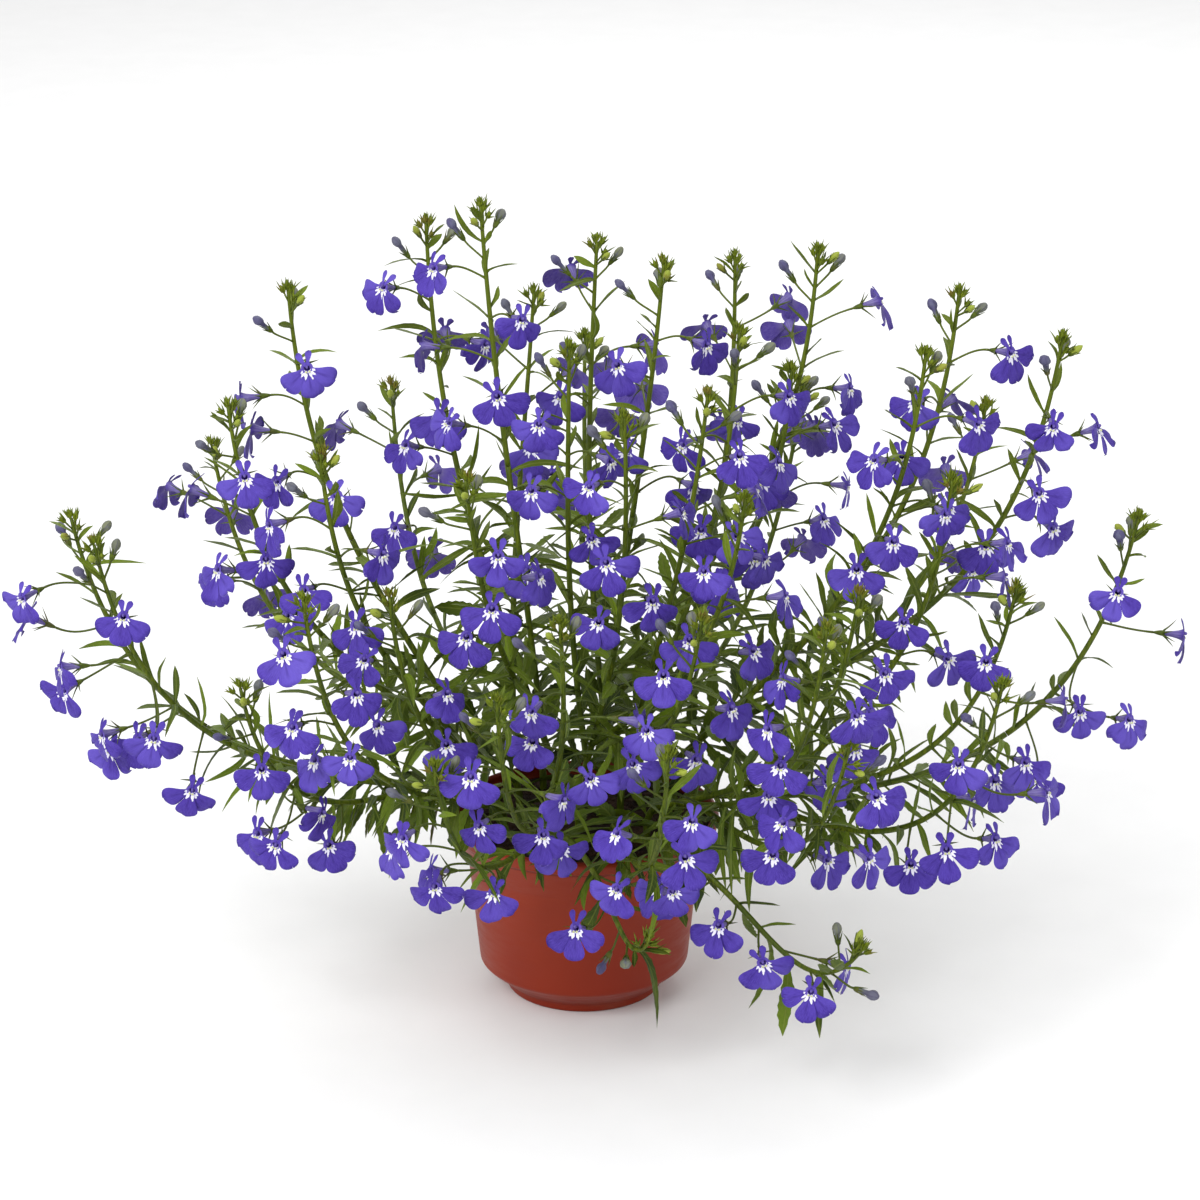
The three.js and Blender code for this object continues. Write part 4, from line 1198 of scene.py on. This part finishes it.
def crumb_points(random):
    ring = [(math.cos(a) * random(0.7, 1.2), math.sin(a) * random(0.7, 1.2), random(-0.2, 0.4))
            for a in ring_angles(5)]
    return np.array([(0, 0, random(0.6, 1.0)), *ring, (0, 0, -0.8)])


def soil_lift(x, y):
    """The height of the soil's lumps: three sizes of noise."""
    lift = 1.0 * noise.noise(Vector((x * 0.16, y * 0.16, 1.0)))
    lift += 0.8 * noise.noise(Vector((x * 0.55, y * 0.55, 7.0)))
    return lift + 0.5 * noise.noise(Vector((x * 1.5, y * 1.5, 3.0)))


def make_soil(material):
    mould = Mould()
    rim = POT_COLLAR[0] - POT_WALL - 1.8
    rings = [
        [POT_FOOT[0] - POT_WALL - 1.1 - SOIL_GAP, POT_FLOOR + SOIL_GAP],
        [POT_SHOULDER[0] - POT_WALL - SOIL_GAP, POT_SHOULDER[1] + 1],
        [POT_WAIST[0] - POT_WALL - SOIL_GAP, POT_WAIST[1] + 0.7],
        [rim, SOIL_TOP],
    ]
    wall = len(rings)
    rings += [[rim * (1 - (i + 1) / (SOIL_RINGS + 1)), SOIL_TOP + 0.6] for i in range(SOIL_RINGS)]
    points = turned_rings(rings, SOIL_SIDES)
    for point in points[wall * SOIL_SIDES:]:
        point[2] += soil_lift(point[0], point[1])
    ends = [(0, 0, POT_FLOOR + SOIL_GAP), (0, 0, SOIL_TOP + 0.8)]
    mould.add(np.concatenate([points, ends]), spindle_faces(len(rings), SOIL_SIDES), 0)
    random = make_random(CRUMB_SEED)
    for i in range(CRUMB_COUNT):
        r = rim * math.sqrt(random(0, 0.96))
        a = random(0, 2 * math.pi)
        k = random(0.35, 1.25) if i % 5 else random(1.0, 1.9)
        centre = np.array([r * math.cos(a), r * math.sin(a), SOIL_TOP + 0.5])
        mould.add(crumb_points(random) * k + centre, CRUMB_FACES, 0)
    mould.make("compost", [material], "soil", "soil")


# Stage: metres, millimetres of lens, degrees and watts
CAMERA_PLACE = (0.0062, -1.4814, 0.6967)
CAMERA_TILT = 70
LENS = 125.3
FLOOR_REACH = 12.0
WORLD_STRENGTH = 0.8

# Each light: its place, the place that it shines at, its width and its power
LIGHTS = {
    "key": ((-0.9, -1.3, 1.5), (0, 0, 0.15), 1.1, 33),
    "fill": ((1.3, -1.1, 0.9), (0, 0, 0.15), 1.4, 6),
    "back": ((0.3, 1.4, 1.4), (0, 0, 0.2), 1.2, 12),
}


def make_camera():
    data = bpy.data.cameras.new("camera")
    data.lens = LENS
    data.sensor_width = 36
    camera = link_object("camera", data)
    camera.location = CAMERA_PLACE
    camera.rotation_euler = (radians(CAMERA_TILT), 0, 0)
    bpy.context.scene.camera = camera


def make_lights():
    for name, (place, target, width, power) in LIGHTS.items():
        data = bpy.data.lights.new(name, "AREA")
        data.shape = "DISK"
        data.size = width
        data.energy = power
        light = link_object(name, data)
        light.location = place
        light.rotation_euler = (Vector(target) - Vector(place)).to_track_quat("-Z", "Y").to_euler()


def make_stage():
    mesh = bpy.data.meshes.new("floor")
    corners = [(x * FLOOR_REACH, y * FLOOR_REACH, 0) for x, y in ((-1, -1), (1, -1), (1, 1), (-1, 1))]
    mesh.from_pydata(corners, [], [(0, 1, 2, 3)])
    mesh.materials.append(floor_material())
    floor = link_object("floor", mesh)
    make_lights()
    world = bpy.data.worlds.new("studio")
    world.use_nodes = True
    world.node_tree.nodes["Background"].inputs[0].default_value = (1, 1, 1, 1)
    world.node_tree.nodes["Background"].inputs[1].default_value = WORLD_STRENGTH
    bpy.context.scene.world = world
    bpy.context.scene.view_settings.view_transform = "Standard"


def make_clump(clump, shoots, bloom_materials, green_materials):
    """The three pieces of a clump, from its shoots by their number in the whole plant."""
    blooms, stems, leafy = Mould(), Mould(), Mould()
    for k, shoot in shoots.items():
        for i, flower in enumerate(shoot.flowers):
            add_flower(blooms, stems, flower, BLOOM_SEED + 20 * k + i)
        for i, bud in enumerate(shoot.buds):
            add_bud(blooms, stems, bud, CLOSED_SEED + 20 * k + i)
        add_tip(stems, shoot, TIP_SEED + k)
        for i, leaf in enumerate(shoot.bracts + shoot.slim):
            add_leaf(stems, leaf, BRACT_SEED + 40 * k + i, 0.0 if i < len(shoot.bracts) else 0.9)
        add_stem(stems, shoot.path, shoot.split + SPLIT_GAP / 2, shoot.total, JOIN_RADIUS, TOP_RADIUS, 0.6)
        first = STEM_RADIUS if shoot.is_main else FORK_RADIUS
        add_stem(leafy, shoot.path, 0, shoot.split - SPLIT_GAP / 2, first, JOIN_RADIUS)
        for i, leaf in enumerate(shoot.leaves + shoot.more):
            add_leaf(leafy, leaf, BLADE_SEED + 300 * k + i, 0.0 if i < len(shoot.leaves) else 1.0)
    number = f"{clump + 1:02d}"
    sprays = [f"spray_{k + 1:02d}" for k in shoots]
    blooms.make(f"blooms_{number}", bloom_materials, "bloom", *sprays)
    stems.make(f"flower_stems_{number}", green_materials, "foliage", *sprays)
    leafy.make(f"leafy_shoots_{number}", green_materials, "foliage", f"leafy_stem_{number}")


def make_plant():
    shoots = lay_shoots()
    lay_flowers(shoots)
    lay_buds(shoots)
    lay_leaves(shoots)
    lay_more_leaves(shoots)
    bloom_materials = [
        petal_material("violet petal", False), petal_material("violet petal reverse", True),
        tube_material(), throat_material(), anther_material(), bud_material(),
    ]
    green_materials = [
        stem_material(),
        leaf_material("leaf", (82, 99, 10), (42, 61, 6)),
        leaf_material("leaf underside", (90, 106, 32), (64, 80, 22)),
        calyx_material("calyx", (86, 100, 24), (58, 72, 12), (92, 80, 50)),
        calyx_material("young buds", (112, 126, 26), (80, 94, 14), (118, 88, 44)),
    ]
    for c in range(len(CLUMPS)):
        own = {k: shoot for k, shoot in enumerate(shoots) if shoot.clump == c}
        make_clump(c, own, bloom_materials, green_materials)


make_camera()
make_plant()
make_pot(pot_material())
make_soil(soil_material())
make_stage()
